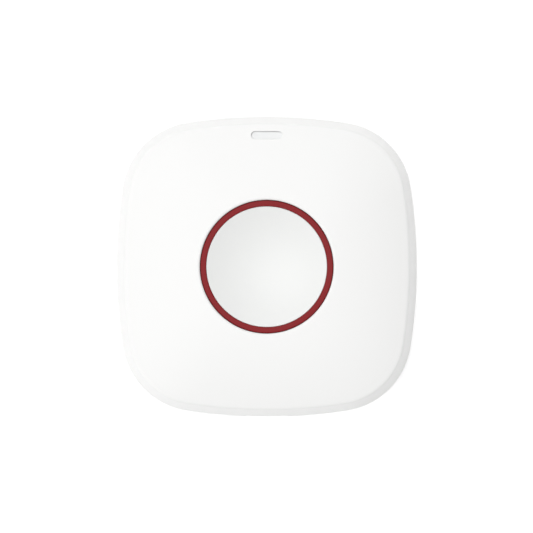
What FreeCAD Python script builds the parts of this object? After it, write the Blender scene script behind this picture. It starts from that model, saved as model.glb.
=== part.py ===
import FreeCAD, Part
import math
import os
import re
import Sketcher

# Wireless panic button: a rounded square case that lies on its back or hangs on a wall, with one
# large round push button in the middle of its crowned front and a small status window above it.
# Frame: the origin is the centre of the back face, +Z points out of the front along the line of
# the push, and +Y points towards the status window. All lengths are millimetres.

# Driving sizes. Heights are built up from the back, piece on piece, so that a thicker piece moves
# everything that stands in front of it.
SIZES = {
    # case outline, seen from the front
    "width": 65.0,
    "side_radius": 112.9,
    "corner_radius": 16.5,
    "draft_inset": 1.47,
    "edge_break": 0.35,
    # case walls and crown
    "wall": 2.0,
    "top_wall": 2.0,
    "crown_drop": 3.2,
    "crown_power": 3.0,
    "rim_gap": 0.3,
    "rim_wall": 1.7,
    "cover_gap": 0.15,
    "rear_thick": 2.0,
    "back_break": 0.4,
    # status window
    "slot_long": 6.7,
    "slot_wide": 1.67,
    "slot_inset": 4.0,
    "window_sink": 0.3,
    "pipe_gap": 0.05,
    "pipe_flat": 0.01,
    "pipe_offset": 2.1,
    "pipe_foot": 1.8,
    "pipe_lift": 0.3,
    # round button
    "ring_outer": 14.38,
    "ring_width": 1.26,
    "ring_sink": 0.32,
    "mouth_gap": 0.12,
    "mouth_break": 0.25,
    "tube_wall": 1.2,
    "flange_thick": 1.2,
    "flange_lip": 1.1,
    "flange_inner": 11.6,
    "ledge_inner": 12.2,
    "dish_gap": 0.03,
    "dish_sink": 0.12,
    "dish_depth": 2.0,
    "dish_thick": 1.5,
    "dish_rim": 1.6,
    "dish_rib": 1.0,
    "post_radius": 3.5,
    "post_length": 0.38,
    "travel": 0.8,
    "stop_gap": 0.05,
    "ring_break": 0.17,
    "key_wide": 1.6,
    "key_deep": 2.0,
    "key_gap": 0.15,
    # push pad and panic switch
    "pad_radius": 3.0,
    "pad_thick": 1.2,
    "pad_gap": 0.05,
    "pad_bevel": 0.45,
    "switch_side": 6.2,
    "switch_body": 3.3,
    "switch_plate": 0.3,
    "switch_total": 4.3,
    "strap_wide": 5.6,
    "plunger_break": 0.2,
    "plunger_radius": 1.75,
    "plunger_gap": 0.1,
    "plunger_rise": 1.55,
    "switch_floor": 1.1,
    # inner frame and spring plate
    "frame_height": 3.6,
    "frame_plate": 1.6,
    "frame_bore": 7.2,
    "frame_wall": 1.2,
    "frame_room": 0.7,
    "ear_thick": 1.6,
    "ear_radius": 3.4,
    "spring_seat": 0.4,
    "spring_thick": 0.2,
    "spring_inner": 8.2,
    "spring_ring": 2.6,
    "finger_reach": 4.0,
    "finger_wide": 2.0,
    "finger_foot": 1.0,
    "finger_start": 12.4,
    # circuit board and what stands on it
    "board_thick": 1.2,
    "board_inset": 4.5,
    "boss_inset": 12.0,
    "boss_radius": 2.75,
    "boss_bite": 1.0,
    "web_thick": 1.2,
    "screw_radius": 1.0,
    "screw_length": 7.0,
    "screw_head": 2.2,
    "head_thick": 1.6,
    "screw_gap": 0.05,
    "clear_gap": 0.5,
    "bore_spare": 0.4,
    "chip_side": 6.0,
    "chip_tall": 0.9,
    "radio_long": 14.0,
    "radio_tall": 2.2,
    "can_round": 0.35,
    "antenna_long": 20.0,
    "antenna_tall": 3.2,
    "antenna_thick": 0.4,
    "antenna_edge": 2.4,
    "leg_wide": 1.2,
    "crystal_long": 3.2,
    "crystal_wide": 2.5,
    "crystal_tall": 0.8,
    "crystal_break": 0.16,
    "crystal_y": 4.8,
    "buffer_long": 7.3,
    "buffer_wide": 4.3,
    "buffer_tall": 2.8,
    "buffer_edge": 2.3,
    "resistor_long": 1.6,
    "resistor_wide": 0.8,
    "resistor_tall": 0.45,
    "resistor_pitch": 4.0,
    "resistor_edge": 3.0,
    "led_long": 3.2,
    "led_wide": 1.6,
    "led_tall": 0.8,
    "lens_radius": 0.6,
    # coin cell, its holder and contacts
    "cell_gap": 0.7,
    "cell_thick": 5.0,
    "cell_radius": 12.25,
    "cell_cap": 10.3,
    "cell_break": 0.2,
    "contact_room": 0.9,
    "holder_gap": 0.2,
    "holder_wall": 1.75,
    "holder_floor": 0.6,
    "holder_bore": 8.0,
    "holder_lift": 0.15,
    "lip_wide": 3.5,
    "lip_bite": 0.44,
    "thumb_wide": 9.8,
    "thumb_deep": 5.3,
    "rest_at": 4.0,
    "rest_long": 17.0,
    "contact_thick": 0.2,
    "contact_wide": 4.0,
    "contact_low": 1.0,
    "leaf_reach": 5.0,
    "leaf_tip": 3.2,
    # tamper pin and switch
    "tamper_x": -19.5,
    "tamper_y": -8.0,
    "pin_radius": 1.5,
    "pin_gap": 0.08,
    "pin_lift": 0.05,
    "pin_travel": 1.2,
    "collar_radius": 2.3,
    "collar_thick": 0.6,
    "sleeve_wall": 1.42,
    "tube_rise": 0.75,
    "pin_break": 0.3,
    "tamper_side": 6.0,
    "tamper_tall": 2.6,
    "tamper_plunger": 0.8,
    "tamper_bore": 1.95,
    "tamper_reach": 1.56,
    "coil_wire": 0.3,
    "coil_radius": 1.7,
    "coil_turns": 3.0,
    # snap hooks and wall fixing
    "hook_x_inset": 3.8,
    "hook_y": 13.0,
    "hook_wide": 6.0,
    "hook_thick": 1.2,
    "hook_reach": 1.2,
    "hook_rise": 2.6,
    "hook_nose": 1.7,
    "hook_flat": 0.4,
    "catch_gap": 0.2,
    "notch_wide": 9.0,
    "notch_tall": 1.3,
    "wall_pitch": 43.0,
    "wall_bore": 4.2,
    "head_bore": 8.4,
    "head_depth": 0.6,
    "tape_long": 24.0,
    "tape_wide": 12.0,
    "tape_deep": 0.3,
}

# Sizes and heights that follow from the driving ones.
DERIVED = {
    # outline
    "half": "width / 2",
    "edge_half": "half - draft_inset",
    "slot_y": "half - slot_inset",
    "boss_at": "half - boss_inset",
    # heights from the back to the front
    "board_under": "rear_thick + cell_gap + cell_thick + contact_room",
    "board_top": "board_under + board_thick",
    "plunger_top": "board_top + switch_total",
    "pad_under": "plunger_top + pad_gap",
    "pad_top": "pad_under + pad_thick",
    "dish_low": "pad_top + post_length + dish_thick",
    "dish_edge": "dish_low + dish_depth",
    "ring_top": "dish_edge + dish_sink",
    "mouth_top": "ring_top + ring_sink",
    "apex": "mouth_top + crown_drop * (mouth_radius / edge_half) ^ crown_power",
    "edge_top": "apex - crown_drop",
    "ledge_top": "dish_edge - dish_rim",
    "frame_top": "board_top + frame_height",
    "frame_under": "frame_top - frame_plate",
    "flange_under": "frame_top + stop_gap + travel",
    "flange_top": "flange_under + flange_thick",
    "tube_end": "flange_top + stop_gap",
    "boss_end": "board_top + ear_thick",
    "boss_root": "apex - top_wall - boss_bite",
    "screw_tip": "board_under + screw_length",
    "spring_under": "frame_top - spring_seat",
    "pipe_low": "board_top + led_tall + pipe_lift",
    "pipe_knee": "pipe_low + pipe_foot",
    # radii about the push axis
    "ring_inner": "ring_outer - ring_width",
    "mouth_radius": "ring_outer + mouth_gap",
    "tube_outer": "mouth_radius + tube_wall",
    "flange_radius": "ring_outer + flange_lip",
    "frame_inner": "flange_radius + frame_room",
    "frame_outer": "frame_inner + frame_wall",
    "spring_land": "flange_radius - flange_lip / 2",
    "key_at": "ring_outer + key_gap + key_deep / 2",
    "holder_inner": "cell_radius + holder_gap",
    "holder_outer": "holder_inner + holder_wall",
    # coin cell and tamper switch
    "cell_under": "rear_thick + cell_gap",
    "cell_top": "cell_under + cell_thick",
    "cell_step": "(cell_radius + cell_cap) / 2",
    "tube_top": "rear_thick + tube_rise",
    "collar_under": "tube_top + stop_gap + pin_travel",
    "collar_top": "collar_under + collar_thick",
    "tamper_under": "board_under - tamper_tall",
    # snap hooks
    "hook_root": "half - hook_x_inset - hook_thick",
    "hook_face": "half - hook_x_inset",
    "hook_under": "rear_thick + hook_rise",
    "hook_top": "hook_under + hook_nose",
}

# The crown is a loft through copies of the case outline that shrink towards the button. The hollow
# under it leaves one of them out, where the crown is nearly straight.
CROWN_STEPS = 4
HOLLOW_STEPS = (0, 1, 3)
LAST_STEP = "0.8 * mouth_radius / edge_half"

WORD = re.compile(r"[a-z_][a-z_0-9]*")
CUTTERS = ("PartDesign::Pocket", "PartDesign::Groove", "PartDesign::Hole", "PartDesign::SubtractiveLoft")

doc = FreeCAD.newDocument("panic_button")
sheet = doc.addObject("Spreadsheet::Sheet", "sizes")
for row, (alias, size) in enumerate(SIZES.items(), start=1):
    sheet.set(f"A{row}", alias)
    sheet.set(f"B{row}", str(size))
    sheet.setAlias(f"B{row}", alias)
doc.recompute()

pieces = []


# Formulas, sketches and features

def formula(text):
    """Write the names in a formula as references to the sheet, and open out the derived ones."""
    def reference(match):
        word = match.group(0)
        if word in DERIVED:
            return "(" + formula(DERIVED[word]) + ")"
        if word in SIZES:
            return "sizes." + word
        return word
    return WORD.sub(reference, text)


def number(text):
    """Value of a formula in millimetres."""
    return float(sheet.evalExpression(formula(text)))


def bind(thing, path, text):
    """Tie one property of an object to a formula of the sheet."""
    thing.setExpression(path, formula(text))


def new_body(label, x="0", y="0"):
    """Start a piece as a body whose own origin stands at x, y on the back plane."""
    body = doc.addObject("PartDesign::Body", label)
    body.Label = label
    bind(body, "Placement.Base.x", x)
    bind(body, "Placement.Base.y", y)
    pieces.append(body)
    return body


def origin(body, role):
    """One of the body's own planes or axes."""
    return next(feature for feature in body.Origin.OriginFeatures if feature.Role == role)


def sketch(body, name, height="0", role="XY_Plane", along="0"):
    """Start a sketch on a plane of the body, shifted along the plane's normal and its first axis."""
    made = body.newObject("Sketcher::SketchObject", f"{body.Label}_{name}")
    made.AttachmentSupport = (origin(body, role), [""])
    made.MapMode = "FlatFace"
    bind(made, "AttachmentOffset.Base.z", height)
    bind(made, "AttachmentOffset.Base.x", along)
    return made


def fix(made, kind, geometry, point, text):
    """Hold one coordinate of a sketch point at a formula's value."""
    index = made.addConstraint(Sketcher.Constraint(kind, -1, 1, geometry, point, number(text)))
    made.setExpression(f"Constraints[{index}]", formula(text))


def fix_point(made, geometry, point, x, y):
    """Hold both coordinates of a sketch point."""
    fix(made, "DistanceX", geometry, point, x)
    fix(made, "DistanceY", geometry, point, y)


def fix_radius(made, geometry, text):
    """Hold the radius of a circle or arc."""
    index = made.addConstraint(Sketcher.Constraint("Radius", geometry, number(text)))
    made.setExpression(f"Constraints[{index}]", formula(text))


def polygon(made, corners, arcs=()):
    """Closed outline through the corners. A side in arcs curves about a centre on the upright axis."""
    points = [FreeCAD.Vector(number(x), number(y), 0) for x, y in corners]
    first = made.GeometryCount
    for side, start in enumerate(points):
        end = points[(side + 1) % len(points)]
        if side in arcs:
            rise = end.y - start.y
            centre = FreeCAD.Vector(0, (end.y + start.y) / 2 + (end.x**2 - start.x**2) / (2 * rise), 0)
            circle = Part.Circle(centre, FreeCAD.Vector(0, 0, 1), start.distanceToPoint(centre))
            made.addGeometry(Part.ArcOfCircle(circle, circle.parameter(start), circle.parameter(end)))
        else:
            made.addGeometry(Part.LineSegment(start, end))
    for side in range(len(points)):
        after = first + (side + 1) % len(points)
        made.addConstraint(Sketcher.Constraint("Coincident", first + side, 2, after, 1))
        if side in arcs:
            made.addConstraint(Sketcher.Constraint("PointOnObject", first + side, 3, -2))
    for side, (x, y) in enumerate(corners):
        fix_point(made, first + side, 1, x, y)
    return made


def rectangle(made, x, y, long, wide):
    """Rectangle centred at x, y."""
    left, right = f"({x}) - ({long}) / 2", f"({x}) + ({long}) / 2"
    low, high = f"({y}) - ({wide}) / 2", f"({y}) + ({wide}) / 2"
    return polygon(made, [(left, low), (right, low), (right, high), (left, high)])


def circles(made, places, radius):
    """Equal circles at the given places."""
    for x, y in places:
        centre = FreeCAD.Vector(number(x), number(y), 0)
        index = made.addGeometry(Part.Circle(centre, FreeCAD.Vector(0, 0, 1), number(radius)))
        fix_point(made, index, 3, x, y)
        fix_radius(made, index, radius)
    return made


def slot(made, start, end, radius):
    """Outline with two half-round ends about the points start and end."""
    low = FreeCAD.Vector(number(start[0]), number(start[1]), 0)
    high = FreeCAD.Vector(number(end[0]), number(end[1]), 0)
    turn = math.atan2(high.y - low.y, high.x - low.x)
    reach = number(radius)
    side = FreeCAD.Vector(-math.sin(turn), math.cos(turn), 0) * reach
    up = FreeCAD.Vector(0, 0, 1)
    first = made.GeometryCount
    near, far = Part.Circle(low, up, reach), Part.Circle(high, up, reach)
    made.addGeometry(Part.ArcOfCircle(near, turn + math.pi / 2, turn + 3 * math.pi / 2))
    made.addGeometry(Part.LineSegment(low - side, high - side))
    made.addGeometry(Part.ArcOfCircle(far, turn - math.pi / 2, turn + math.pi / 2))
    made.addGeometry(Part.LineSegment(high + side, low + side))
    for k in range(4):
        made.addConstraint(Sketcher.Constraint("Tangent", first + k, 2, first + (k + 1) % 4, 1))
    fix_point(made, first, 3, *start)
    fix_point(made, first + 2, 3, *end)
    fix_radius(made, first, radius)
    return made


def case_outline(made, inset="0", scale="1"):
    """Rounded square of four long side arcs and four corner arcs, all tangent.

    The outline keeps its arc centres when it is inset, and is then shrunk by the scale.
    """
    half = f"(half - ({inset})) * ({scale})"
    side_radius = f"(side_radius - ({inset})) * ({scale})"
    corner_radius = f"(corner_radius - ({inset})) * ({scale})"
    bulge = f"({side_radius}) - ({half})"
    side, corner, back = number(side_radius), number(corner_radius), number(bulge)
    # The corner centre lies at (at, at): (at + back)^2 + at^2 = (side - corner)^2.
    at = (-back + math.sqrt(2 * (side - corner) ** 2 - back**2)) / 2
    spread = math.atan2(at, at + back)
    up = FreeCAD.Vector(0, 0, 1)
    for quarter in range(4):
        turn = quarter * math.pi / 2
        turned = FreeCAD.Rotation(up, math.degrees(turn))
        long_arc = Part.Circle(turned.multVec(FreeCAD.Vector(-back, 0, 0)), up, side)
        short_arc = Part.Circle(turned.multVec(FreeCAD.Vector(at, at, 0)), up, corner)
        made.addGeometry(Part.ArcOfCircle(long_arc, turn - spread, turn + spread))
        made.addGeometry(Part.ArcOfCircle(short_arc, turn + spread, turn + math.pi / 2 - spread))
    for k in range(8):
        made.addConstraint(Sketcher.Constraint("Tangent", k, 2, (k + 1) % 8, 1))
    made.addConstraint(Sketcher.Constraint("PointOnObject", 0, 3, -1))
    made.addConstraint(Sketcher.Constraint("PointOnObject", 2, 3, -2))
    made.addConstraint(Sketcher.Constraint("Symmetric", 0, 3, 4, 3, -1, 1))
    made.addConstraint(Sketcher.Constraint("Symmetric", 2, 3, 6, 3, -1, 1))
    for k in range(2, 8):
        made.addConstraint(Sketcher.Constraint("Equal", k % 2, k))
    fix(made, "DistanceX", 0, 3, f"-({bulge})")
    fix(made, "DistanceY", 2, 3, f"-({bulge})")
    fix_radius(made, 0, side_radius)
    fix_radius(made, 1, corner_radius)
    return made


def feature(body, kind, name, **properties):
    """Add a feature and set its plain properties."""
    made = body.newObject(f"PartDesign::{kind}", f"{body.Label}_{name}")
    for key, setting in properties.items():
        setattr(made, key, setting)
    return made


def pad(body, name, profile, length, backwards=False):
    """Raise a profile along its plane's normal, or against it."""
    made = feature(body, "Pad", name, Profile=profile, Reversed=backwards)
    bind(made, "Length", length)
    return made


def pocket(body, name, profile, length, backwards=False):
    """Cut a profile against its plane's normal, or along it when backwards."""
    made = feature(body, "Pocket", name, Profile=profile, Reversed=backwards)
    bind(made, "Length", length)
    return made


def turned(body, name, profile):
    """Revolve a profile about the sketch's upright axis."""
    return feature(body, "Revolution", name, Profile=profile, ReferenceAxis=(profile, ["V_Axis"]), Angle=360)


def loft(body, kind, name, sections, ruled):
    """Loft through a list of sketches."""
    return feature(body, kind, name, Profile=sections[0], Sections=sections[1:], Ruled=ruled)


def around(body, name, originals, count):
    """Repeat features evenly about the push axis."""
    made = feature(body, "PolarPattern", name, Originals=originals, Angle=360, Occurrences=count)
    made.Axis = (origin(body, "Z_Axis"), [""])
    body.Tip = made
    return made


def mirrored(body, name, originals, role="YZ_Plane"):
    """Repeat features on the other side of a plane of the body."""
    made = feature(body, "Mirrored", name, Originals=originals)
    made.MirrorPlane = (origin(body, role), [""])
    body.Tip = made
    return made


def level_edges(shape, height, longer=0.0):
    """Names of a shape's edges that lie flat at one height and are longer than a length."""
    names = []
    for index, edge in enumerate(shape.Edges, start=1):
        box = edge.BoundBox
        if abs(box.ZMin - height) < 1e-4 and abs(box.ZMax - height) < 1e-4 and edge.Length > longer:
            names.append(f"Edge{index}")
    return names


def dress(body, kind, name, base, edges, size):
    """Fillet or chamfer some edges of a feature."""
    made = feature(body, kind, name, Base=(base, edges))
    bind(made, "Radius" if kind == "Fillet" else "Size", size)
    return made


def turned_piece(label, corners, arcs=(), x="0", y="0"):
    """A whole piece turned from one outline of radius and height pairs."""
    body = new_body(label, x, y)
    turned(body, "turned", polygon(sketch(body, "outline", role="XZ_Plane"), corners, arcs))
    return body


def four(at_x, at_y):
    """The four places at plus and minus x and y."""
    return [(f"({a}{at_x})", f"({b}{at_y})") for a in ("", "-") for b in ("", "-")]


def crown(step):
    """Scale of one crown section, from the outer edge inwards."""
    return f"(1 - (1 - {LAST_STEP}) * {step} / {CROWN_STEPS - 1})"


# Case

def crown_height(scale):
    """Height of the front surface where the outline has shrunk to a scale."""
    return f"apex - crown_drop * ({scale}) ^ crown_power"


def front_cover():
    """Drafted side wall and crowned front in one moulding, hollow, with everything it carries inside."""
    body = new_body("front_cover")
    rim = case_outline(sketch(body, "rim", "rim_gap"))
    steps = [case_outline(sketch(body, f"crown_{k}", crown_height(crown(k))), "draft_inset", crown(k))
             for k in range(CROWN_STEPS)]
    loft(body, "AdditiveLoft", "side_wall", [rim, steps[0]], ruled=True)
    crowned = loft(body, "AdditiveLoft", "crown", steps, ruled=False)
    doc.recompute()
    dress(body, "Chamfer", "edge", crowned, level_edges(crowned.Shape, number("edge_top")), "edge_break")

    low = case_outline(sketch(body, "hollow_rim", "rim_gap"), "wall")
    inner = [case_outline(sketch(body, f"hollow_{k}", f"({crown_height(crown(k))}) - top_wall"),
                          "draft_inset + wall", crown(k)) for k in HOLLOW_STEPS]
    loft(body, "SubtractiveLoft", "hollow_wall", [low, inner[0]], ruled=True)
    loft(body, "SubtractiveLoft", "hollow_crown", inner, ruled=True)
    rebate = case_outline(sketch(body, "rebate", "rear_thick"), "rim_wall")
    pocket(body, "rebate_cut", rebate, "rear_thick")

    centre = [("0", "0")]
    tube = circles(sketch(body, "tube", "tube_end"), centre, "tube_outer")
    pad(body, "tube_wall", tube, "apex - top_wall / 2 - tube_end")
    mouth = circles(sketch(body, "mouth", "apex"), centre, "mouth_radius")
    pocket(body, "mouth_cut", mouth, "apex - rear_thick")
    foot = "mouth_top - mouth_break"
    bevel = polygon(sketch(body, "bevel", role="XZ_Plane"), [
        ("mouth_radius", foot), (f"mouth_radius + apex - ({foot})", "apex"), ("mouth_radius", "apex")])
    feature(body, "Groove", "bevel_cut", Profile=bevel, ReferenceAxis=(bevel, ["V_Axis"]), Angle=360)

    bosses = circles(sketch(body, "bosses", "boss_end"), four("boss_at", "boss_at"), "boss_radius")
    pad(body, "boss_posts", bosses, "boss_root - boss_end")
    web = slot(sketch(body, "web", "boss_end + web_thick"), ("boss_at", "boss_at"),
               ("boss_at + boss_radius + web_thick", "boss_at + boss_radius + web_thick"), "web_thick / 2")
    webs = pad(body, "web_plate", web, "boss_root - boss_end - 2 * web_thick")
    around(body, "webs", [webs], 4)
    holes = circles(sketch(body, "screw_holes", "boss_end"), four("boss_at", "boss_at"),
                    "screw_radius + screw_gap")
    pocket(body, "screw_cut", holes, "screw_tip - boss_end + bore_spare", backwards=True)

    window = slot(sketch(body, "window", "apex"), ("-(slot_long - slot_wide) / 2", "slot_y"),
                  ("(slot_long - slot_wide) / 2", "slot_y"), "slot_wide / 2")
    pocket(body, "window_cut", window, "apex - pipe_knee + wall")

    for sign in ("", "-"):
        span = ("hook_under - catch_gap", "hook_top + catch_gap")
        corners = [("hook_face - catch_gap", span[0]), ("hook_face + hook_reach + catch_gap", span[0]),
                   ("hook_face + hook_reach + catch_gap", span[1]), ("hook_face - catch_gap", span[1])]
        start = f"-(({sign}hook_y) - hook_wide / 2 - catch_gap)"
        catch = polygon(sketch(body, f"catch{len(sign)}", start, "XZ_Plane"), corners)
        cut = pocket(body, f"catch_cut{len(sign)}", catch, "hook_wide + 2 * catch_gap")
        mirrored(body, f"catches{len(sign)}", [cut])
    notch = rectangle(sketch(body, "notch", "half", "XZ_Plane"), "0", "rim_gap + notch_tall / 2",
                      "notch_wide", "notch_tall")
    pocket(body, "notch_cut", notch, "rim_wall * 2")


def rear_cover():
    """Flat back plate with four snap hooks, two wall-screw holes and the tamper pin's tube."""
    body = new_body("rear_cover")
    plate = pad(body, "plate", case_outline(sketch(body, "outline"), "rim_wall + cover_gap"), "rear_thick")
    doc.recompute()
    dress(body, "Chamfer", "back_edge", plate, level_edges(plate.Shape, 0.0), "back_break")
    tube = circles(sketch(body, "tube", "rear_thick"), [("tamper_x", "tamper_y")],
                   "pin_radius + pin_gap + sleeve_wall")
    pad(body, "pin_tube", tube, "tube_rise")
    bore = circles(sketch(body, "pin_bore", "tube_top"), [("tamper_x", "tamper_y")], "pin_radius + pin_gap")
    pocket(body, "pin_cut", bore, "tube_top")
    for sign in ("", "-"):
        corners = [("hook_root", "rear_thick"), ("hook_face", "rear_thick"), ("hook_face", "hook_under"),
                   ("hook_face + hook_reach", "hook_under"),
                   ("hook_face + hook_reach", "hook_under + hook_flat"),
                   ("hook_face", "hook_top"), ("hook_root", "hook_top")]
        start = f"-(({sign}hook_y) + hook_wide / 2)"
        hook = polygon(sketch(body, f"hook{len(sign)}", start, "XZ_Plane"), corners)
        arm = pad(body, f"hook_arm{len(sign)}", hook, "hook_wide")
        mirrored(body, f"hooks{len(sign)}", [arm])
    rest = rectangle(sketch(body, "rest", "rear_thick"), "0", "rest_at", "rest_long", "web_thick")
    rests = pad(body, "cell_rest", rest, "cell_gap - stop_gap")
    mirrored(body, "cell_rests", [rests], "XZ_Plane")
    tape = rectangle(sketch(body, "tape"), "0", "0", "tape_long", "tape_wide")
    pocket(body, "tape_bed", tape, "tape_deep", backwards=True)
    places = [("0", "wall_pitch / 2"), ("0", "-wall_pitch / 2")]
    bores = circles(sketch(body, "wall_bores", "rear_thick"), places, "wall_bore / 2")
    doc.recompute()
    hole = feature(body, "Hole", "wall_holes", Profile=bores, ThreadType="None", DepthType="ThroughAll",
                   HoleCutType="Counterbore", HoleCutCustomValues=True)
    bind(hole, "Diameter", "wall_bore")
    bind(hole, "HoleCutDiameter", "head_bore")
    bind(hole, "HoleCutDepth", "head_depth")


# Push button

def button_ring():
    """Red ring that shows round the dish, with the skirt and flange that keep the button in the case."""
    body = turned_piece("button_ring", [
        ("ring_inner", "ring_top"), ("ring_outer", "ring_top"), ("ring_outer", "flange_top"),
        ("flange_radius", "flange_top"), ("flange_radius", "flange_under"),
        ("flange_inner", "flange_under"), ("flange_inner", "flange_top"),
        ("ledge_inner", "flange_top"), ("ledge_inner", "ledge_top"), ("ring_inner", "ledge_top")])
    doc.recompute()
    ring = body.Tip
    dress(body, "Chamfer", "soft_edges", ring, level_edges(ring.Shape, number("ring_top")), "ring_break")
    key = rectangle(sketch(body, "key_way", "flange_top"), "-(ring_outer + key_deep / 2)", "0", "key_deep",
                    "key_wide + 2 * key_gap")
    cut = pocket(body, "key_cut", key, "flange_thick")
    around(body, "key_ways", [cut], 3)


def button_dish():
    """Hollowed cap that the finger pushes, ribbed below, with a post over the switch."""
    body = turned_piece("button_dish", [
        ("0", "dish_low"), ("ring_inner - dish_gap", "dish_edge"), ("ring_inner - dish_gap", "ledge_top"),
        ("ledge_inner - dish_gap", "ledge_top"), ("post_radius", "dish_low - dish_thick"),
        ("post_radius", "pad_top"), ("0", "pad_top")], arcs=(0,))
    rib = polygon(sketch(body, "rib", "-dish_rib / 2", "XZ_Plane"), [
        ("post_radius / 2", "dish_low - dish_thick / 2"),
        ("post_radius / 2", "dish_low - dish_thick"),
        ("ledge_inner - dish_rib", "ledge_top - dish_rib"),
        ("ledge_inner - dish_rib", "ledge_top + dish_rib / 2")])
    ribs = pad(body, "rib_plate", rib, "dish_rib")
    around(body, "ribs", [ribs], 6)


def actuator_pad():
    """Soft pad under the post that takes up the rest of the stroke."""
    turned_piece("actuator_pad", [
        ("0", "pad_under"), ("pad_radius - pad_bevel", "pad_under"), ("pad_radius", "pad_under + pad_bevel"),
        ("pad_radius", "pad_top"), ("0", "pad_top")])


# Inner frame

def guide_frame():
    """Frame screwed over the board: the button stops on it and the spring plate lies in it."""
    body = turned_piece("guide_frame", [
        ("frame_bore", "frame_under"), ("frame_inner", "frame_under"), ("frame_inner", "board_top"),
        ("frame_outer", "board_top"), ("frame_outer", "frame_top"),
        ("spring_land", "frame_top"), ("spring_land", "spring_under"), ("frame_bore", "spring_under")])
    ear = slot(sketch(body, "ear", "board_top"), ("frame_outer / sqrt(2)", "frame_outer / sqrt(2)"),
               ("boss_at", "boss_at"), "ear_radius")
    ears = pad(body, "ear_plate", ear, "ear_thick")
    around(body, "ears", [ears], 4)
    inside = circles(sketch(body, "inside", "board_top"), [("0", "0")], "frame_inner")
    pocket(body, "inside_cut", inside, "frame_height - frame_plate", backwards=True)
    holes = circles(sketch(body, "screw_holes", "boss_end"), four("boss_at", "boss_at"),
                    "screw_radius + clear_gap")
    pocket(body, "screw_cut", holes, "ear_thick")
    key = rectangle(sketch(body, "key", "spring_under"), "-key_at", "0", "key_deep", "key_wide")
    keys = pad(body, "key_post", key, "flange_top - spring_under")
    around(body, "keys", [keys], 3)


def spring_plate():
    """Stamped ring whose three bent fingers hold the button up."""
    body = new_body("spring_plate")
    ring = sketch(body, "ring", "spring_under")
    circles(ring, [("0", "0")], "spring_inner + spring_ring")
    circles(ring, [("0", "0")], "spring_inner")
    pad(body, "ring_plate", ring, "spring_thick")
    root = rectangle(sketch(body, "root", "spring_under"), "-finger_reach + finger_wide / 2",
                     "-(spring_inner + finger_start + finger_wide) / 2",
                     "finger_wide", "finger_start + finger_wide - spring_inner - spring_ring / 2")
    roots = pad(body, "root_plate", root, "spring_thick")
    lift = "flange_under - stop_gap"
    finger = polygon(sketch(body, "finger", "finger_start", "XZ_Plane"), [
        ("-finger_reach", "spring_under"), ("-finger_reach + finger_wide", "spring_under"),
        ("finger_reach - finger_foot", f"{lift} - spring_thick"), ("finger_reach", f"{lift} - spring_thick"),
        ("finger_reach", lift), ("finger_reach - finger_foot", lift),
        ("-finger_reach + finger_wide", "spring_under + spring_thick"),
        ("-finger_reach", "spring_under + spring_thick")])
    fingers = pad(body, "finger_plate", finger, "finger_wide")
    around(body, "fingers", [roots, fingers], 3)


# Circuit board and what stands on it

def circuit_board():
    """Board of the case's own outline, held at its four corners."""
    body = new_body("circuit_board")
    pad(body, "plate", case_outline(sketch(body, "outline", "board_under"), "board_inset"), "board_thick")
    holes = circles(sketch(body, "screw_holes", "board_top"), four("boss_at", "boss_at"),
                    "screw_radius + clear_gap")
    pocket(body, "screw_cut", holes, "board_thick")


def board_screws():
    """Four pan-head screws, put in from the back through board and frame into the case's bosses."""
    body = new_body("board_screws")
    outline = sketch(body, "outline", "-boss_at", "XZ_Plane", along="boss_at")
    polygon(outline, [
        ("0", "board_under - head_thick"), ("screw_head", "board_under - head_thick"),
        ("screw_head", "board_under"), ("screw_radius", "board_under"), ("screw_radius", "screw_tip"),
        ("0", "screw_tip")])
    screw = turned(body, "screw", outline)
    around(body, "screws", [screw], 4)


def panic_switch():
    """Push switch under the button: moulded body, steel plate over it and the plunger."""
    body = new_body("panic_switch_body")
    block = rectangle(sketch(body, "outline", "board_top"), "0", "0", "switch_side", "switch_side")
    pad(body, "block", block, "switch_body")
    bore = circles(sketch(body, "bore", "board_top + switch_body"), [("0", "0")],
                   "plunger_radius + plunger_gap")
    pocket(body, "bore_cut", bore, "switch_body - switch_floor")

    plate = new_body("panic_switch_plate")
    outer, inner = "switch_side / 2 + switch_plate", "switch_side / 2"
    under, end = "board_top + switch_body", "board_top + switch_plate"
    top = f"{under} + switch_plate"
    bent = polygon(sketch(plate, "bent", "-strap_wide / 2", "XZ_Plane"), [
        (f"-({outer})", end), (f"-({inner})", end), (f"-({inner})", under), (inner, under), (inner, end),
        (outer, end), (outer, top), (f"-({outer})", top)])
    pad(plate, "bent_plate", bent, "strap_wide")
    hole = circles(sketch(plate, "hole", top), [("0", "0")], "plunger_radius + plunger_gap")
    pocket(plate, "hole_cut", hole, "switch_plate")

    turned_piece("panic_switch_plunger", [
        ("0", "board_top + plunger_rise"), ("plunger_radius", "board_top + plunger_rise"),
        ("plunger_radius", "plunger_top - plunger_break"), ("plunger_radius - plunger_break", "plunger_top"),
        ("0", "plunger_top")])


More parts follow.
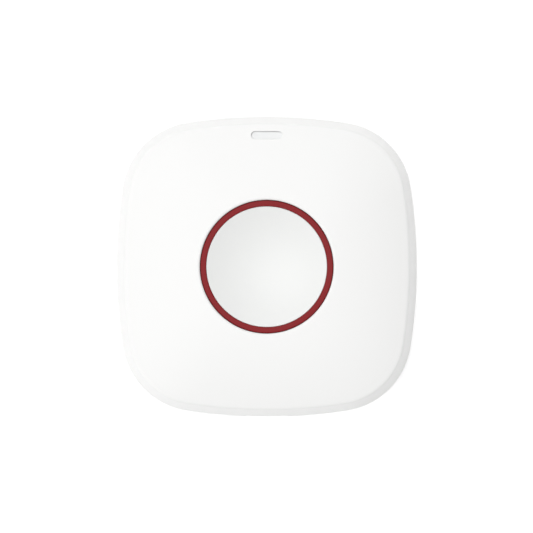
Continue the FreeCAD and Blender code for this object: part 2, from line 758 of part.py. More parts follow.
def status_light():
    """Light source on the board and the clear piece that carries its light up to the window."""
    led = new_body("status_led")
    y = "slot_y - pipe_offset"
    pad(led, "base", rectangle(sketch(led, "outline", "board_top"), "0", y, "led_long", "led_wide"),
        "led_tall / 2")
    lens = circles(sketch(led, "lens", "board_top + led_tall / 2"), [("0", y)], "lens_radius")
    pad(led, "lens_top", lens, "led_tall / 2")

    pipe = new_body("light_pipe")
    near, far = "slot_y - slot_wide / 2 + pipe_gap", "slot_y + slot_wide / 2 - pipe_gap"
    top = "apex - crown_drop * (({}) / edge_half) ^ crown_power - window_sink"
    outline = polygon(sketch(pipe, "outline", "-(slot_long / 2 - pipe_gap)", "YZ_Plane"), [
        (near, top.format(near)), (far, top.format(far)), (far, "pipe_knee"),
        (f"{y} + pipe_foot / 2", "pipe_low"), (f"{y} - pipe_foot / 2", "pipe_low"),
        (f"{y} - pipe_foot / 2", "pipe_knee"), (near, "pipe_knee + pipe_foot")])
    solid = pad(pipe, "block", outline, "slot_long - 2 * pipe_gap")
    doc.recompute()
    upright = [f"Edge{k}" for k, edge in enumerate(solid.Shape.Edges, start=1)
               if edge.BoundBox.XLength < 1e-6 and edge.BoundBox.YLength < 1e-6
               and edge.BoundBox.ZMax > number("pipe_knee") + number("pipe_foot")]
    dress(pipe, "Fillet", "round_ends", solid, upright, "slot_wide / 2 - pipe_gap - pipe_flat")


def board_parts():
    """Radio can, antenna, controller, crystal, buffer capacitor and a row of resistors."""
    radio_low, radio_high = "frame_outer + frame_room", "half - board_inset - frame_room"
    radio = new_body("radio_shield")
    outline = rectangle(sketch(radio, "outline", "board_top"), f"({radio_low} + {radio_high}) / 2", "0",
                        f"{radio_high} - ({radio_low})", "radio_long")
    can = pad(radio, "can", outline, "radio_tall")
    doc.recompute()
    dress(radio, "Fillet", "soft_top", can, level_edges(can.Shape, number("board_top + radio_tall")),
          "can_round")

    antenna = new_body("antenna_strip")
    out, legs, middle = "antenna_long / 2", "leg_wide", "board_top + antenna_tall / 2"
    strip = polygon(sketch(antenna, "strip", "-(half - board_inset - antenna_edge)", "YZ_Plane"), [
        (f"-{out}", "board_top"), (f"-{out} + {legs}", "board_top"),
        (f"-{out} + {legs}", middle), (f"-{out} + 3 * {legs}", middle),
        (f"-{out} + 3 * {legs}", "board_top"), (f"-{out} + 4 * {legs}", "board_top"),
        (f"-{out} + 4 * {legs}", middle), (out, middle),
        (out, "board_top + antenna_tall"), (f"-{out}", "board_top + antenna_tall")])
    pad(antenna, "strip_plate", strip, "antenna_thick")

    chip = new_body("controller_chip")
    outline = rectangle(sketch(chip, "outline", "board_top"), "-(frame_inner + switch_side / 2) / 2", "0",
                        "chip_side", "chip_side")
    pad(chip, "block", outline, "chip_tall")

    crystal = new_body("crystal")
    outline = rectangle(sketch(crystal, "outline", "board_top"), "-(frame_outer + crystal_long)", "crystal_y",
                        "crystal_wide", "crystal_long")
    can = pad(crystal, "can", outline, "crystal_tall")
    doc.recompute()
    dress(crystal, "Chamfer", "top_edge", can, level_edges(can.Shape, number("board_top + crystal_tall")),
          "crystal_break")

    buffer = new_body("buffer_capacitor")
    outline = rectangle(sketch(buffer, "outline", "board_top"), "0",
                        "-(half - board_inset - buffer_edge - buffer_wide / 2)", "buffer_long", "buffer_wide")
    pad(buffer, "block", outline, "buffer_tall")

    resistors = new_body("chip_resistors")
    row = sketch(resistors, "row", "board_top")
    for k in (-3, -2, -1, 1, 2, 3):
        rectangle(row, f"{k} * resistor_pitch", "half - board_inset - resistor_edge", "resistor_long",
                  "resistor_wide")
    pad(resistors, "blocks", row, "resistor_tall")


# Coin cell, its holder and contacts

def coin_cell():
    """Lithium coin cell, its wide can towards the back cover."""
    turned_piece("coin_cell", [
        ("0", "cell_under"), ("cell_radius - cell_break", "cell_under"),
        ("cell_radius", "cell_under + cell_break"), ("cell_radius", "cell_top - 2 * cell_break"),
        ("cell_step", "cell_top - cell_break"), ("cell_cap", "cell_top - cell_break"),
        ("cell_cap", "cell_top"), ("0", "cell_top")])


def battery_holder():
    """Round holder under the board, open to the back, with three lips that keep the cell in."""
    low = "rear_thick + holder_lift"
    body = turned_piece("battery_holder", [
        ("holder_bore", "board_under - holder_floor"), ("holder_inner", "board_under - holder_floor"),
        ("holder_inner", low), ("holder_outer", low), ("holder_outer", "board_under"),
        ("holder_bore", "board_under")])
    lip = rectangle(sketch(body, "lip", low), "-(holder_inner + holder_wall / 2 - lip_bite)", "0",
                    "holder_wall", "lip_wide")
    lips = pad(body, "lip_plate", lip, "cell_under - stop_gap * 2 - rear_thick - holder_lift")
    around(body, "lips", [lips], 3)
    gap = rectangle(sketch(body, "contact_gap", "board_under"), "cell_radius + holder_wall", "0",
                    "2 * holder_wall", "contact_wide + 2 * holder_gap")
    pocket(body, "contact_cut", gap, "board_under")
    thumb = rectangle(sketch(body, "thumb", "cell_top"), "0", "holder_outer", "thumb_wide", "thumb_deep")
    cut = pocket(body, "thumb_cut", thumb, "cell_thick")
    mirrored(body, "thumbs", [cut], "XZ_Plane")


def contacts():
    """The two sprung strips that take the cell's current to the board."""
    side = new_body("positive_contact")
    face, back = "cell_radius + stop_gap", "cell_radius + stop_gap + contact_thick"
    bent = polygon(sketch(side, "bent", "-contact_wide / 2", "XZ_Plane"), [
        (face, "cell_under + contact_low"), (back, "cell_under + contact_low"),
        (back, "board_under - contact_thick"),
        ("holder_outer + contact_wide / 2", "board_under - contact_thick"),
        ("holder_outer + contact_wide / 2", "board_under"), (face, "board_under")])
    pad(side, "strip", bent, "contact_wide")

    centre = new_body("negative_contact")
    end, tip, touch = "leaf_reach", "leaf_tip", "cell_top + stop_gap"
    leaf = polygon(sketch(centre, "leaf", "-contact_wide / 2", "XZ_Plane"), [
        (f"-{end}", "board_under"), ("-contact_wide / 2", "board_under"),
        ("-contact_wide / 2", "board_under - contact_thick"),
        (f"-{end} + contact_thick", "board_under - contact_thick"),
        (tip, f"{touch} + contact_thick"), (end, f"{touch} + 2 * contact_thick"),
        (end, f"{touch} + contact_thick"), (tip, touch), (f"-{end}", "board_under - 2 * contact_thick")])
    pad(centre, "strip", leaf, "contact_wide")


# Tamper pin and switch

def tamper_parts():
    """Pin that the wall or table holds in, its spring, and the switch that it keeps pressed."""
    turned_piece("tamper_pin", [
        ("0", "pin_lift"), ("pin_radius - pin_break", "pin_lift"), ("pin_radius", "pin_lift + pin_break"),
        ("pin_radius", "collar_under"), ("collar_radius", "collar_under"), ("collar_radius", "collar_top"),
        ("0", "collar_top")], x="tamper_x", y="tamper_y")

    body = new_body("tamper_switch_body", "tamper_x", "tamper_y")
    block = rectangle(sketch(body, "outline", "tamper_under"), "0", "0", "tamper_side", "tamper_side")
    pad(body, "block", block, "tamper_tall")
    bore = circles(sketch(body, "bore", "tamper_under"), [("0", "0")], "tamper_plunger + pin_gap")
    pocket(body, "bore_cut", bore, "tamper_bore", backwards=True)

    turned_piece("tamper_switch_plunger", [
        ("0", "collar_top + pin_lift"), ("tamper_plunger", "collar_top + pin_lift"),
        ("tamper_plunger", "tamper_under + tamper_reach"), ("0", "tamper_under + tamper_reach")],
        x="tamper_x", y="tamper_y")

    spring = new_body("tamper_spring", "tamper_x", "tamper_y")
    start, end = "collar_top + stop_gap", "tamper_under - stop_gap"
    wire = rectangle(sketch(spring, "wire", role="XZ_Plane"), "coil_radius", f"{start} + coil_wire / 2",
                     "coil_wire", "coil_wire")
    coil = feature(spring, "AdditiveHelix", "coil", Profile=wire, Mode="height-turns-angle",
                   ReferenceAxis=(wire, ["V_Axis"]))
    bind(coil, "Height", f"({end}) - ({start}) - coil_wire")
    bind(coil, "Turns", "coil_turns")


# Build, test and write

front_cover()
rear_cover()
button_ring()
button_dish()
actuator_pad()
guide_frame()
spring_plate()
circuit_board()
board_screws()
panic_switch()
status_light()
board_parts()
coin_cell()
battery_holder()
contacts()
tamper_parts()
doc.recompute()

for item in doc.Objects:
    if {"Invalid", "Error"} & set(item.State):
        raise RuntimeError(f"{item.Name} did not compute: {item.State}")
    if item.TypeId in CUTTERS and item.BaseFeature.Shape.Volume - item.Shape.Volume < 1e-3:
        raise RuntimeError(f"{item.Name} cuts nothing")
for piece in pieces:
    if piece.Shape.isNull() or not piece.Shape.isValid():
        raise RuntimeError(f"{piece.Label} has no valid shape")

os.makedirs("parts", exist_ok=True)
for piece in pieces:
    piece.Shape.exportStep(f"parts/{piece.Label}.step")
    print(f"{piece.Label}: {len(piece.Shape.Solids)} solid, {piece.Shape.Volume:.1f} mm3")
print(f"{len(pieces)} pieces, overall depth {number('apex'):.2f} mm")
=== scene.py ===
# %% [markdown]
# # A wireless panic button in a plain white studio
#
# The object is a small alarm button: a rounded square white case that lies on its back, a large
# round cap with a red ring in the middle, and a thin status window near the top edge. A packed
# engineering model gives every piece its size and place. This script dresses it: it rebuilds the
# outer pieces, the springs, the pad and the screws as smooth surfaces worked out with numpy, gives
# every piece a finish, and sets up the light and the camera.
#
# All shapes are worked out in millimetres and turned into metres when a mesh is made.

import bmesh
import bpy
import numpy as np
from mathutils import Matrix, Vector


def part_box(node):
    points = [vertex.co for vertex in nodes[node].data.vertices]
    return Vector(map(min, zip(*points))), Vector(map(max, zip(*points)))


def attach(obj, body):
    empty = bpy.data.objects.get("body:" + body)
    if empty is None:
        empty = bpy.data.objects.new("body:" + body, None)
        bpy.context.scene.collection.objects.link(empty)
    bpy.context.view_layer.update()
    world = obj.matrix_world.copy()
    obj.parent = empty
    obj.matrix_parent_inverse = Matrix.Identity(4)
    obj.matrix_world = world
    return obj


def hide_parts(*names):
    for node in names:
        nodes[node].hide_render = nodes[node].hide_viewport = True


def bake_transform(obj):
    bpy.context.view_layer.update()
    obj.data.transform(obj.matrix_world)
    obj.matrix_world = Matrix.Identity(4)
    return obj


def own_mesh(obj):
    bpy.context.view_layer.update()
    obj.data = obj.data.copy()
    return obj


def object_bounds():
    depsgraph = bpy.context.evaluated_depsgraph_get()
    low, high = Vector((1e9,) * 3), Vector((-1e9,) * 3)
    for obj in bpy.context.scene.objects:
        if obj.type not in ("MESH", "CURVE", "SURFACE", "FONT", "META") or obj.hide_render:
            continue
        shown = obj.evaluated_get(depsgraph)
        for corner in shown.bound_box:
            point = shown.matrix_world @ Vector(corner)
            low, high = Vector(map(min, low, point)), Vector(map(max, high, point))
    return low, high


MM = 0.001
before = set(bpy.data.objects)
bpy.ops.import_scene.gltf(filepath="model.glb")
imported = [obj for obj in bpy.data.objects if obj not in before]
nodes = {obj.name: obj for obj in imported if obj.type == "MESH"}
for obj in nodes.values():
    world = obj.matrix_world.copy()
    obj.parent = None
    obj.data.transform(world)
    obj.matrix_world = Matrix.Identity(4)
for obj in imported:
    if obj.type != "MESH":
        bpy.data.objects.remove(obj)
cad_low, cad_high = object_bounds()
print("pieces:", len(nodes), "box in mm:", np.round((np.array(cad_high) - cad_low) / MM, 2))


# %% [markdown]
# ## Sizes
#
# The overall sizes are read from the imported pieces, so that the surfaces fit them. Only sizes that a
# box can't tell, such as radii and wall thicknesses, are written out.

# %% Sizes in millimetres
def box_mm(node):
    """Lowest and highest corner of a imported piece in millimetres."""
    low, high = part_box(node)
    return np.array(low) / MM, np.array(high) / MM


cover_low, cover_high = box_mm("front_cover")
ring_low, ring_high = box_mm("button_ring")
dish_low, dish_high = box_mm("button_dish")
rear_top = box_mm("rear_cover")[1][2]
board_top = box_mm("circuit_board")[1][2]

HALF = cover_high[0]
RIM = cover_low[2]
SIDE_RADIUS = 112.9
CORNER_RADIUS = 16.5
DRAFT = 1.47
APEX = 20.0
DROP = 3.2
POWER = 3.0
EDGE_TOP = APEX - DROP
TALL = EDGE_TOP - RIM
WALL = 2.0
RIM_WALL = 1.7
REBATE_TOP = 2.0
HAIR = 0.02

RING_OUTER = 14.38
RING_INNER = 13.12
MOUTH_GAP = 0.10
MOUTH = RING_OUTER + MOUTH_GAP
FLANGE_THICK = 1.2
FLANGE_GAP = 0.05
TUBE_WALL = 1.2
TUBE_END = ring_low[2] + FLANGE_THICK + FLANGE_GAP
print("half width", round(HALF, 3), "rim", round(RIM, 3), "ring top", round(ring_high[2], 3))


# %% [markdown]
# ## The outline of the case
#
# Seen from the front the case is a rounded square made of eight arcs: four long flat ones and four
# tight corners, each tangent to the next. A point of such an outline is easiest to find from the
# way it faces. Its outward normal picks the arc, and the point is the arc's centre plus the radius
# times the normal. Insetting the outline only shortens the radius, so a drafted wall keeps the same
# centres at every height.

# %% Outline of eight arcs
BACK = SIDE_RADIUS - HALF
REACH = SIDE_RADIUS - CORNER_RADIUS
CORNER_AT = (np.sqrt(2 * REACH**2 - BACK**2) - BACK) / 2
SPREAD = np.arctan2(CORNER_AT, CORNER_AT + BACK)


def arc_of(local, spread, inset):
    """Centre and inset radius of the arc at an angle from the nearest side's middle: that side's
    arc within the spread, and a corner's beyond it."""
    on_side = np.abs(local) <= spread
    centre_x = np.where(on_side, -BACK, CORNER_AT)
    centre_y = np.where(on_side, 0.0, np.sign(local) * CORNER_AT)
    return centre_x, centre_y, np.where(on_side, SIDE_RADIUS, CORNER_RADIUS) - inset


def outline(turns, inset):
    """Points of the outline whose outward normals point at the angles in turns.

    A point is its arc's centre plus the inset radius times the normal.
    """
    quarter = np.round(turns / (np.pi / 2)) * np.pi / 2
    local = turns - quarter
    centre_x, centre_y, radius = arc_of(local, SPREAD, inset)
    x = centre_x + radius * np.cos(local)
    y = centre_y + radius * np.sin(local)
    cos, sin = np.cos(quarter), np.sin(quarter)
    return np.column_stack([x * cos - y * sin, x * sin + y * cos])


def polar_radius(x, y, inset):
    """Distance from the axis to the outline in the direction of x, y.

    The ray from the axis meets the circle about an arc's centre where a quadratic equation says.
    """
    angle = np.arctan2(y, x)
    local = angle - np.round(angle / (np.pi / 2)) * np.pi / 2
    side = SIDE_RADIUS - inset
    joint = np.arctan2(side * np.sin(SPREAD), side * np.cos(SPREAD) - BACK)
    centre_x, centre_y, radius = arc_of(local, joint, inset)
    towards = centre_x * np.cos(local) + centre_y * np.sin(local)
    return towards + np.sqrt(towards**2 - centre_x**2 - centre_y**2 + radius**2)


print("corner arcs are centred at", round(float(CORNER_AT), 2), "mm from both middle planes")


# %% [markdown]
# ## From arrays to pieces
#
# Every new piece is a grid of points: rows along a profile, columns round the object. Quads join
# neighbours, and where the profile closes on itself the last row joins the first. One function turns
# such arrays into a mesh, merges the points that fall together at a pole, and makes the faces point
# outwards. Edges that turn by more than 40 degrees stay crisp, the others are shaded smooth.

# %% Grids of quads
def grid_faces(rows, columns, close_rows=False):
    """Quads between neighbouring rows and columns of points that are numbered row by row."""
    r = np.arange(rows if close_rows else rows - 1)[:, None]
    c = np.arange(columns)[None, :]
    after, beside = (r + 1) % rows, (c + 1) % columns
    corners = [r * columns + c, r * columns + beside, after * columns + beside, after * columns + c]
    return np.stack(corners, axis=-1)


def lift(flat, height):
    """Points x, y raised to a height, which is a number, an array or a function of x and y."""
    z = height(flat[:, 0], flat[:, 1]) if callable(height) else np.broadcast_to(height, len(flat))
    return np.column_stack([flat, z])


def joined(parts):
    """One array of points and one of faces from several pairs, with the faces numbered on."""
    starts = np.cumsum([0] + [len(points) for points, _ in parts])
    faces = [quads.reshape(-1, 4) + start for (_, quads), start in zip(parts, starts)]
    return np.concatenate([points for points, _ in parts]), np.concatenate(faces)


def full_turn(count):
    """Angles evenly round a full turn."""
    return np.linspace(0, 2 * np.pi, count, endpoint=False)


def repeated(count, *shapes):
    """Pairs of points and faces, copied evenly round the push axis: x, y turns by the angle a into
    x cos a - y sin a, x sin a + y cos a."""
    made = []
    for cos, sin in zip(np.cos(full_turn(count)), np.sin(full_turn(count))):
        turn = np.array([[cos, sin, 0.0], [-sin, cos, 0.0], [0.0, 0.0, 1.0]])
        made += [(points @ turn, faces) for points, faces in shapes]
    return made


# %% Soft corners
def rounded(start, corner, end, steps):
    """Rows that turn a sharp corner into a soft one.

    Each row is (1 - s)^2 start + 2 s (1 - s) corner + s^2 end, with s from 0 to 1.
    """
    s = np.linspace(0.0, 1.0, steps)[:, None, None]
    return list((1 - s) ** 2 * start + 2 * s * (1 - s) * corner + s**2 * end)


def between(start, end, shares):
    """Rows on straight lines from start to end."""
    return [start + (end - start) * share for share in shares]


def softened(profile, size, steps=4):
    """A profile of radius and height whose inner corners are rounded by the curve of rounded().

    Each corner gives way to a curve that starts and ends a size away from it, or less than half of
    a shorter side.
    """
    corners = np.asarray(profile, float)
    made = [corners[0]]
    for before, corner, after in zip(corners[:-2], corners[1:-1], corners[2:]):
        back, on = before - corner, after - corner
        start = corner + back / np.hypot(*back) * min(size, 0.45 * np.hypot(*back))
        end = corner + on / np.hypot(*on) * min(size, 0.45 * np.hypot(*on))
        made += [row[0] for row in rounded(start[None], corner[None], end[None], steps)]
    return np.array(made + [corners[-1]])


# %% The mesh builder
CRISP = np.radians(40.0)


def put(name, data):
    """Put a mesh, a lamp or a camera into the scene."""
    made = bpy.data.objects.new(name, data)
    bpy.context.scene.collection.objects.link(made)
    return made


def piece(name, points, faces, finish, slot, stands_for=(), body=None):
    """Make a mesh from points in millimetres and faces, dress it and let it ride on a body."""
    mesh = bpy.data.meshes.new(name)
    mesh.from_pydata((np.reshape(points, (-1, 3)) * MM).tolist(), [], np.reshape(faces, (-1, 4)).tolist())
    solid = bmesh.new()
    solid.from_mesh(mesh)
    bmesh.ops.remove_doubles(solid, verts=solid.verts, dist=1e-4 * MM)
    loose = [v for v in solid.verts if not v.link_faces]
    bmesh.ops.delete(solid, geom=loose, context="VERTS")
    bmesh.ops.recalc_face_normals(solid, faces=solid.faces)
    open_edges = sum(1 for edge in solid.edges if len(edge.link_faces) != 2)
    solid.to_mesh(mesh)
    solid.free()
    mesh.materials.append(finish)
    mesh.shade_smooth()
    mesh.set_sharp_from_angle(angle=CRISP)
    made = put(name, mesh)
    if body:
        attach(made, body)
    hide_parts(*stands_for)
    print(f"{name}: {len(mesh.polygons)} faces, {open_edges} open edges")
    return made


# %% [markdown]
# ## Colours, nodes and finishes
#
# Colours are written the way a screen shows them, as hex values, and one function turns them into
# the linear numbers that the renderer works with. One small function adds a node, sets its values
# and joins its links.
#
# Nearly every surface here was made against a tool or between rollers, and both leave two things for
# the eye. Colour and gloss drift slowly over centimetres, because the melt or the sheet was never
# quite even, and a fine tooth stands on the surface, the print of the tool's grain. So one function
# makes such a skin: a broad noise moves between two near colours and two roughnesses, and a fine one
# raises the surface. Both read the object's own coordinates, so a spot keeps its size and its place.

# %% Colour and node helpers
def colour(hex_value):
    """Linear red, green, blue and alpha of an sRGB hex colour."""
    channels = np.array([int(hex_value[k:k + 2], 16) / 255 for k in (1, 3, 5)])
    linear = np.where(channels <= 0.04045, channels / 12.92, ((channels + 0.055) / 1.055) ** 2.4)
    return (*linear.tolist(), 1.0)


def add(tree, kind, settings=(), links=()):
    """Add a node. A key is an input's name or number, or in lower case a property of the node."""
    node = tree.nodes.new(kind)
    for key, value in dict(settings).items():
        if isinstance(key, str) and key.islower():
            setattr(node, key, value)
        else:
            node.inputs[key].default_value = value
    for key, output in dict(links).items():
        tree.links.new(output, node.inputs[key])
    return node


def bare(name, base, sockets=()):
    """Start a finish: a principled shader with its constant values on its own sockets."""
    made = bpy.data.materials.new(name)
    made.use_nodes = True
    shader = made.node_tree.nodes["Principled BSDF"]
    shader.inputs["Base Color"].default_value = colour(base)
    for socket, value in dict(sockets).items():
        shader.inputs[socket].default_value = value
    return made, made.node_tree, shader


print("colour test, mid grey:", np.round(colour("#808080")[:3], 4))


# %% A skin with a slow drift and a fine tooth
def skin(name, shades, gloss, drift, tooth, height, sockets=(), stretch=(1.0, 1.0, 1.0)):
    """A finish between two shades and two roughnesses, whose tooth is height millimetres deep.

    drift and tooth are the sizes of the broad and the fine spots in millimetres, and stretch packs
    the fine spots closer along an axis where it is large, which makes lines along the others.
    """
    made, tree, shader = bare(name, shades[0], sockets)
    place = add(tree, "ShaderNodeTexCoord")
    broad = add(tree, "ShaderNodeTexNoise", {"Scale": 1.0 / (drift * MM), "Detail": 1.0},
                {"Vector": place.outputs["Object"]})
    shade = add(tree, "ShaderNodeMix", {"data_type": "RGBA", 6: colour(shades[0]), 7: colour(shades[1])},
                {0: broad.outputs["Fac"]})
    tree.links.new(shade.outputs[2], shader.inputs["Base Color"])
    rough = add(tree, "ShaderNodeMapRange", {"To Min": gloss[0], "To Max": gloss[1]},
                {"Value": broad.outputs["Fac"]})
    tree.links.new(rough.outputs["Result"], shader.inputs["Roughness"])
    drawn = add(tree, "ShaderNodeMapping", {"Scale": stretch}, {"Vector": place.outputs["Object"]})
    fine = add(tree, "ShaderNodeTexNoise", {"Scale": 1.0 / (tooth * MM), "Detail": 3.0},
               {"Vector": drawn.outputs["Vector"]})
    raised = add(tree, "ShaderNodeBump", {"Strength": 1.0, "Distance": height * MM},
                 {"Height": fine.outputs["Fac"]})
    tree.links.new(raised.outputs["Normal"], shader.inputs["Normal"])
    print("made", name)
    return made


# %% [markdown]
# ## The white case: spark-eroded ABS
#
# Alarm housings are moulded in white ABS against a tool that was roughened by spark erosion. The
# grain is about a tenth of a millimetre wide and a few micrometres deep: too fine to see as dots, yet
# it spreads every highlight, so the case reads as satin and not as gloss. It is drawn about three
# times coarser, so that it still shows as a faint tooth. The slow drift in colour and gloss stands
# for the way that the melt flowed from the gate.

# %% White spark-eroded ABS
case_finish = skin(
    "white_abs_spark_eroded", ("#F4F4F3", "#F6F6F5"), (0.45, 0.52), 24.0, 0.30, 0.004, {"IOR": 1.53})


# %% [markdown]
# ## The cap: lacquered off-white ABS
#
# The cap that the thumb meets is moulded in a slightly greyer white, so that it shows against the
# case, with a coarser grain that feels dry. A matte clear lacquer keeps hands from polishing it away
# and adds a second, tighter sheen to the plastic's own, so the side of the hollow that faces the
# light is plainly lighter than the other.

# %% Lacquered cap finish
cap_finish = skin("off_white_abs_lacquered", ("#E8E9E8", "#EAEBE9"), (0.50, 0.55), 16.0, 0.38, 0.006,
                  {"IOR": 1.53, "Coat Weight": 1.0, "Coat Roughness": 0.40})


# %% [markdown]
# ## The ring: dull red ABS
#
# The ring is dyed through and moulded against a finely roughened tool, so its sheen is dull and
# broad. A stronger reflection of the white surroundings would lift the dark red towards pink, so its
# specular level lies below that of bare plastic.

# %% Red ring finish
ring_finish = skin("red_abs_satin", ("#7E0D14", "#851118"), (0.52, 0.60), 9.0, 0.22, 0.002,
                   {"IOR": 1.50, "Specular IOR Level": 0.3})


# %% [markdown]
# ## The window: frosted polycarbonate
#
# The status window is the end of a light pipe: clear polycarbonate whose visible end is frosted, so
# that it hides the lamp below and glows evenly. Unlit it looks almost as white as the case, with the
# slightly stronger sheen of a material that bends light more.

# %% Frosted polycarbonate
window_finish = skin(
    "polycarbonate_frosted", ("#EEEFEF", "#F0F1F1"), (0.30, 0.34), 6.0, 0.16, 0.002, {"IOR": 1.585})


# %% [markdown]
# ## Front of the case
#
# The front cover is one moulding: a tube for the button, a crowned front, a softly broken edge, a
# drafted wall that flares towards the back, and the same again on the inside, two millimetres in.
# Its profile closes on itself, so the whole cover is one closed grid: rows run along the profile and
# columns round the outline.
#
# The crown is a pillow. Each line of equal height on it is a copy of the outline, shrunk by a share f
# about the axis, and the height is the apex less the drop times f to the third power. So it is flat
# round the button and falls away ever faster towards the edge.
#
# Columns are even round the corners and closer together at the window. A recess with sharp sides,
# such as the pry notch or a catch for a snap hook, gets two columns a hair apart at each side: one
# belongs to the wall, the other to the recess. Close to a rounding the surface beside it has a row of
# its own, so that the soft shading of the rounding doesn't run on into it.

# %% Columns round the outline
WINDOW_REACH = 5.0
WINDOW_COLUMNS = 28
BESIDE_COLUMNS = 12
NOTCH_HALF = 4.5
NOTCH_TALL = 1.3
CATCH_AT = 13.0
CATCH_HALF = 3.2


def stations(knots, counts):
    """Angles that divide each span between two knots evenly, without the last knot."""
    spans = [np.linspace(a, b, n, endpoint=False) for a, b, n in zip(knots[:-1], knots[1:], counts)]
    return np.concatenate(spans)


def step_at(distance, inset):
    """Two stations a hair apart, at a distance along a side from the side's middle."""
    return np.arcsin((distance + np.array([-HAIR, HAIR])) / (SIDE_RADIUS - inset))


beside_window = np.arcsin(WINDOW_REACH / (SIDE_RADIUS - DRAFT))
notch = step_at(NOTCH_HALF, 0.0)
catch = np.concatenate([step_at(CATCH_AT - CATCH_HALF, WALL), step_at(CATCH_AT + CATCH_HALF, WALL)])
window_side = stations([-SPREAD, -beside_window, beside_window, SPREAD],
                       [BESIDE_COLUMNS, WINDOW_COLUMNS, BESIDE_COLUMNS])
notch_side = stations([-SPREAD, *-notch[::-1], *notch, SPREAD], [10, 1, 12, 1, 10])
catch_side = stations([-SPREAD, *-catch[::-1], *catch, SPREAD], [1, 1, 6, 1, 18, 1, 6, 1, 1])
corner = stations([SPREAD, np.pi / 2 - SPREAD], [40])
turns = np.concatenate([
    catch_side, corner, window_side + np.pi / 2, corner + np.pi / 2,
    catch_side + np.pi, corner + np.pi, notch_side + 1.5 * np.pi, corner + 1.5 * np.pi])
COLUMNS = len(turns)
window_first = len(catch_side) + len(corner) + BESIDE_COLUMNS
window_last = window_first + WINDOW_COLUMNS
print("columns:", COLUMNS, "window columns:", window_first, window_last)


# %% Heights of the crown and of the roof under it
def crown_height(x, y):
    """Apex less the drop times the cube of the share by which the outline has shrunk at x, y."""
    return APEX - DROP * (np.hypot(x, y) / polar_radius(x, y, DRAFT)) ** POWER


def roof_height(x, y):
    """Inner surface: the crown's form a wall's thickness lower, then down the drafted wall."""
    edge = polar_radius(x, y, DRAFT + WALL)
    share = np.minimum(np.hypot(x, y) / edge, 1.0)
    beyond = np.maximum(np.hypot(x, y) - edge, 0.0)
    slope = TALL / DRAFT
    return APEX - DROP * share**POWER - WALL - beyond * slope


print("crown at the mouth:", round(float(crown_height(MOUTH, 0.0)), 3), "at the edge:", EDGE_TOP)

# %% Rows of the cover's profile, from the mouth over the crown to the foot
EDGE_ROUND = 0.55
MOUTH_ROUND = 0.58
FOOT_ROUND = 0.15
HOLD = 0.07
edge = outline(turns, DRAFT)
ray = edge / np.hypot(*edge.T)[:, None]
rim = outline(turns, 0.0)
facing = np.column_stack([np.cos(turns), np.sin(turns), 0 * turns])
in_notch = (np.abs(rim[:, 0]) < NOTCH_HALF) & (rim[:, 1] < 0)
foot = np.where(in_notch, RIM + NOTCH_TALL, RIM)
foot_share = ((EDGE_TOP - foot) / TALL)[:, None]


def wall_point(share):
    """Outer wall, from the edge of the front at share 0 to the plane of the rim at share 1."""
    top = lift(edge, EDGE_TOP)
    return top + (lift(rim, RIM) - top) * share


mouth_foot = lift(ray * MOUTH, TUBE_END)
mouth_corner = lift(ray * MOUTH, crown_height)
mouth_top = mouth_corner - [0, 0, MOUTH_ROUND]
mouth_end = lift(ray * (MOUTH + MOUTH_ROUND), crown_height)
crown_end = edge - ray * EDGE_ROUND
wall_start = wall_point(EDGE_ROUND / TALL)

WINDOW_ROWS = 16
WINDOW_FROM = 0.76
WINDOW_TO = 0.965
CROWN_SPAN = 16.0
hold = HOLD / CROWN_SPAN
low_shares = np.linspace(0.0, WINDOW_FROM, 14)
window_shares = np.linspace(WINDOW_FROM, WINDOW_TO, WINDOW_ROWS + 1)
crown_shares = np.concatenate([[hold], low_shares[1:-1], window_shares, [0.98, 1.0 - hold]])
crown_rows = [lift(mouth_end[:, :2] + (crown_end - mouth_end[:, :2]) * share, crown_height)
              for share in crown_shares]

rows = between(mouth_foot, mouth_top, [0.0, 0.03, 0.5, 0.98])
rows += rounded(mouth_top, mouth_corner, mouth_end, 7)
window_row = len(rows) + len(low_shares) - 1
rows += crown_rows
rows += rounded(lift(crown_end, crown_height), lift(edge, EDGE_TOP), wall_start, 9)
rows += [wall_point(share) for share in (0.04, 0.25, 0.5, 0.75, 0.88)]
rows += rounded(wall_point(foot_share - FOOT_ROUND / TALL), wall_point(foot_share),
                wall_point(foot_share) - facing * FOOT_ROUND, 4)
print("rows so far:", len(rows))

# %% Rows of the inside: rebate, catches for the snap hooks, roof and tube
HOOK_INSET = 3.8
HOOK_OUT = 1.2
HOOK_NOSE = 1.7
CATCH_GAP = 0.2
BLOCK_FOOT = 10.5
WALL_ROWS = 5
ROOF_CORNER = EDGE_TOP - WALL
ROOF_BLOCK = 0.158
hook_reach = HALF - HOOK_INSET + HOOK_OUT
catch_low = rear_top - HOOK_NOSE - CATCH_GAP
catch_top = rear_top + CATCH_GAP
in_catch = np.abs(np.abs(outline(turns, WALL)[:, 1]) - CATCH_AT) < CATCH_HALF


def inner_wall(height, deep=None):
    """Inner wall at a height: the outline inset by the wall and by the draft there.

    With deep, the columns of the catches are pushed out to that distance from the middle plane.
    """
    flat = outline(turns, WALL + DRAFT * (height - RIM) / TALL)
    if deep:
        pushed = np.sign(flat[:, 0]) * np.maximum(np.abs(flat[:, 0]), deep)
        flat[:, 0] = np.where(in_catch, pushed, flat[:, 0])
    return lift(flat, height)


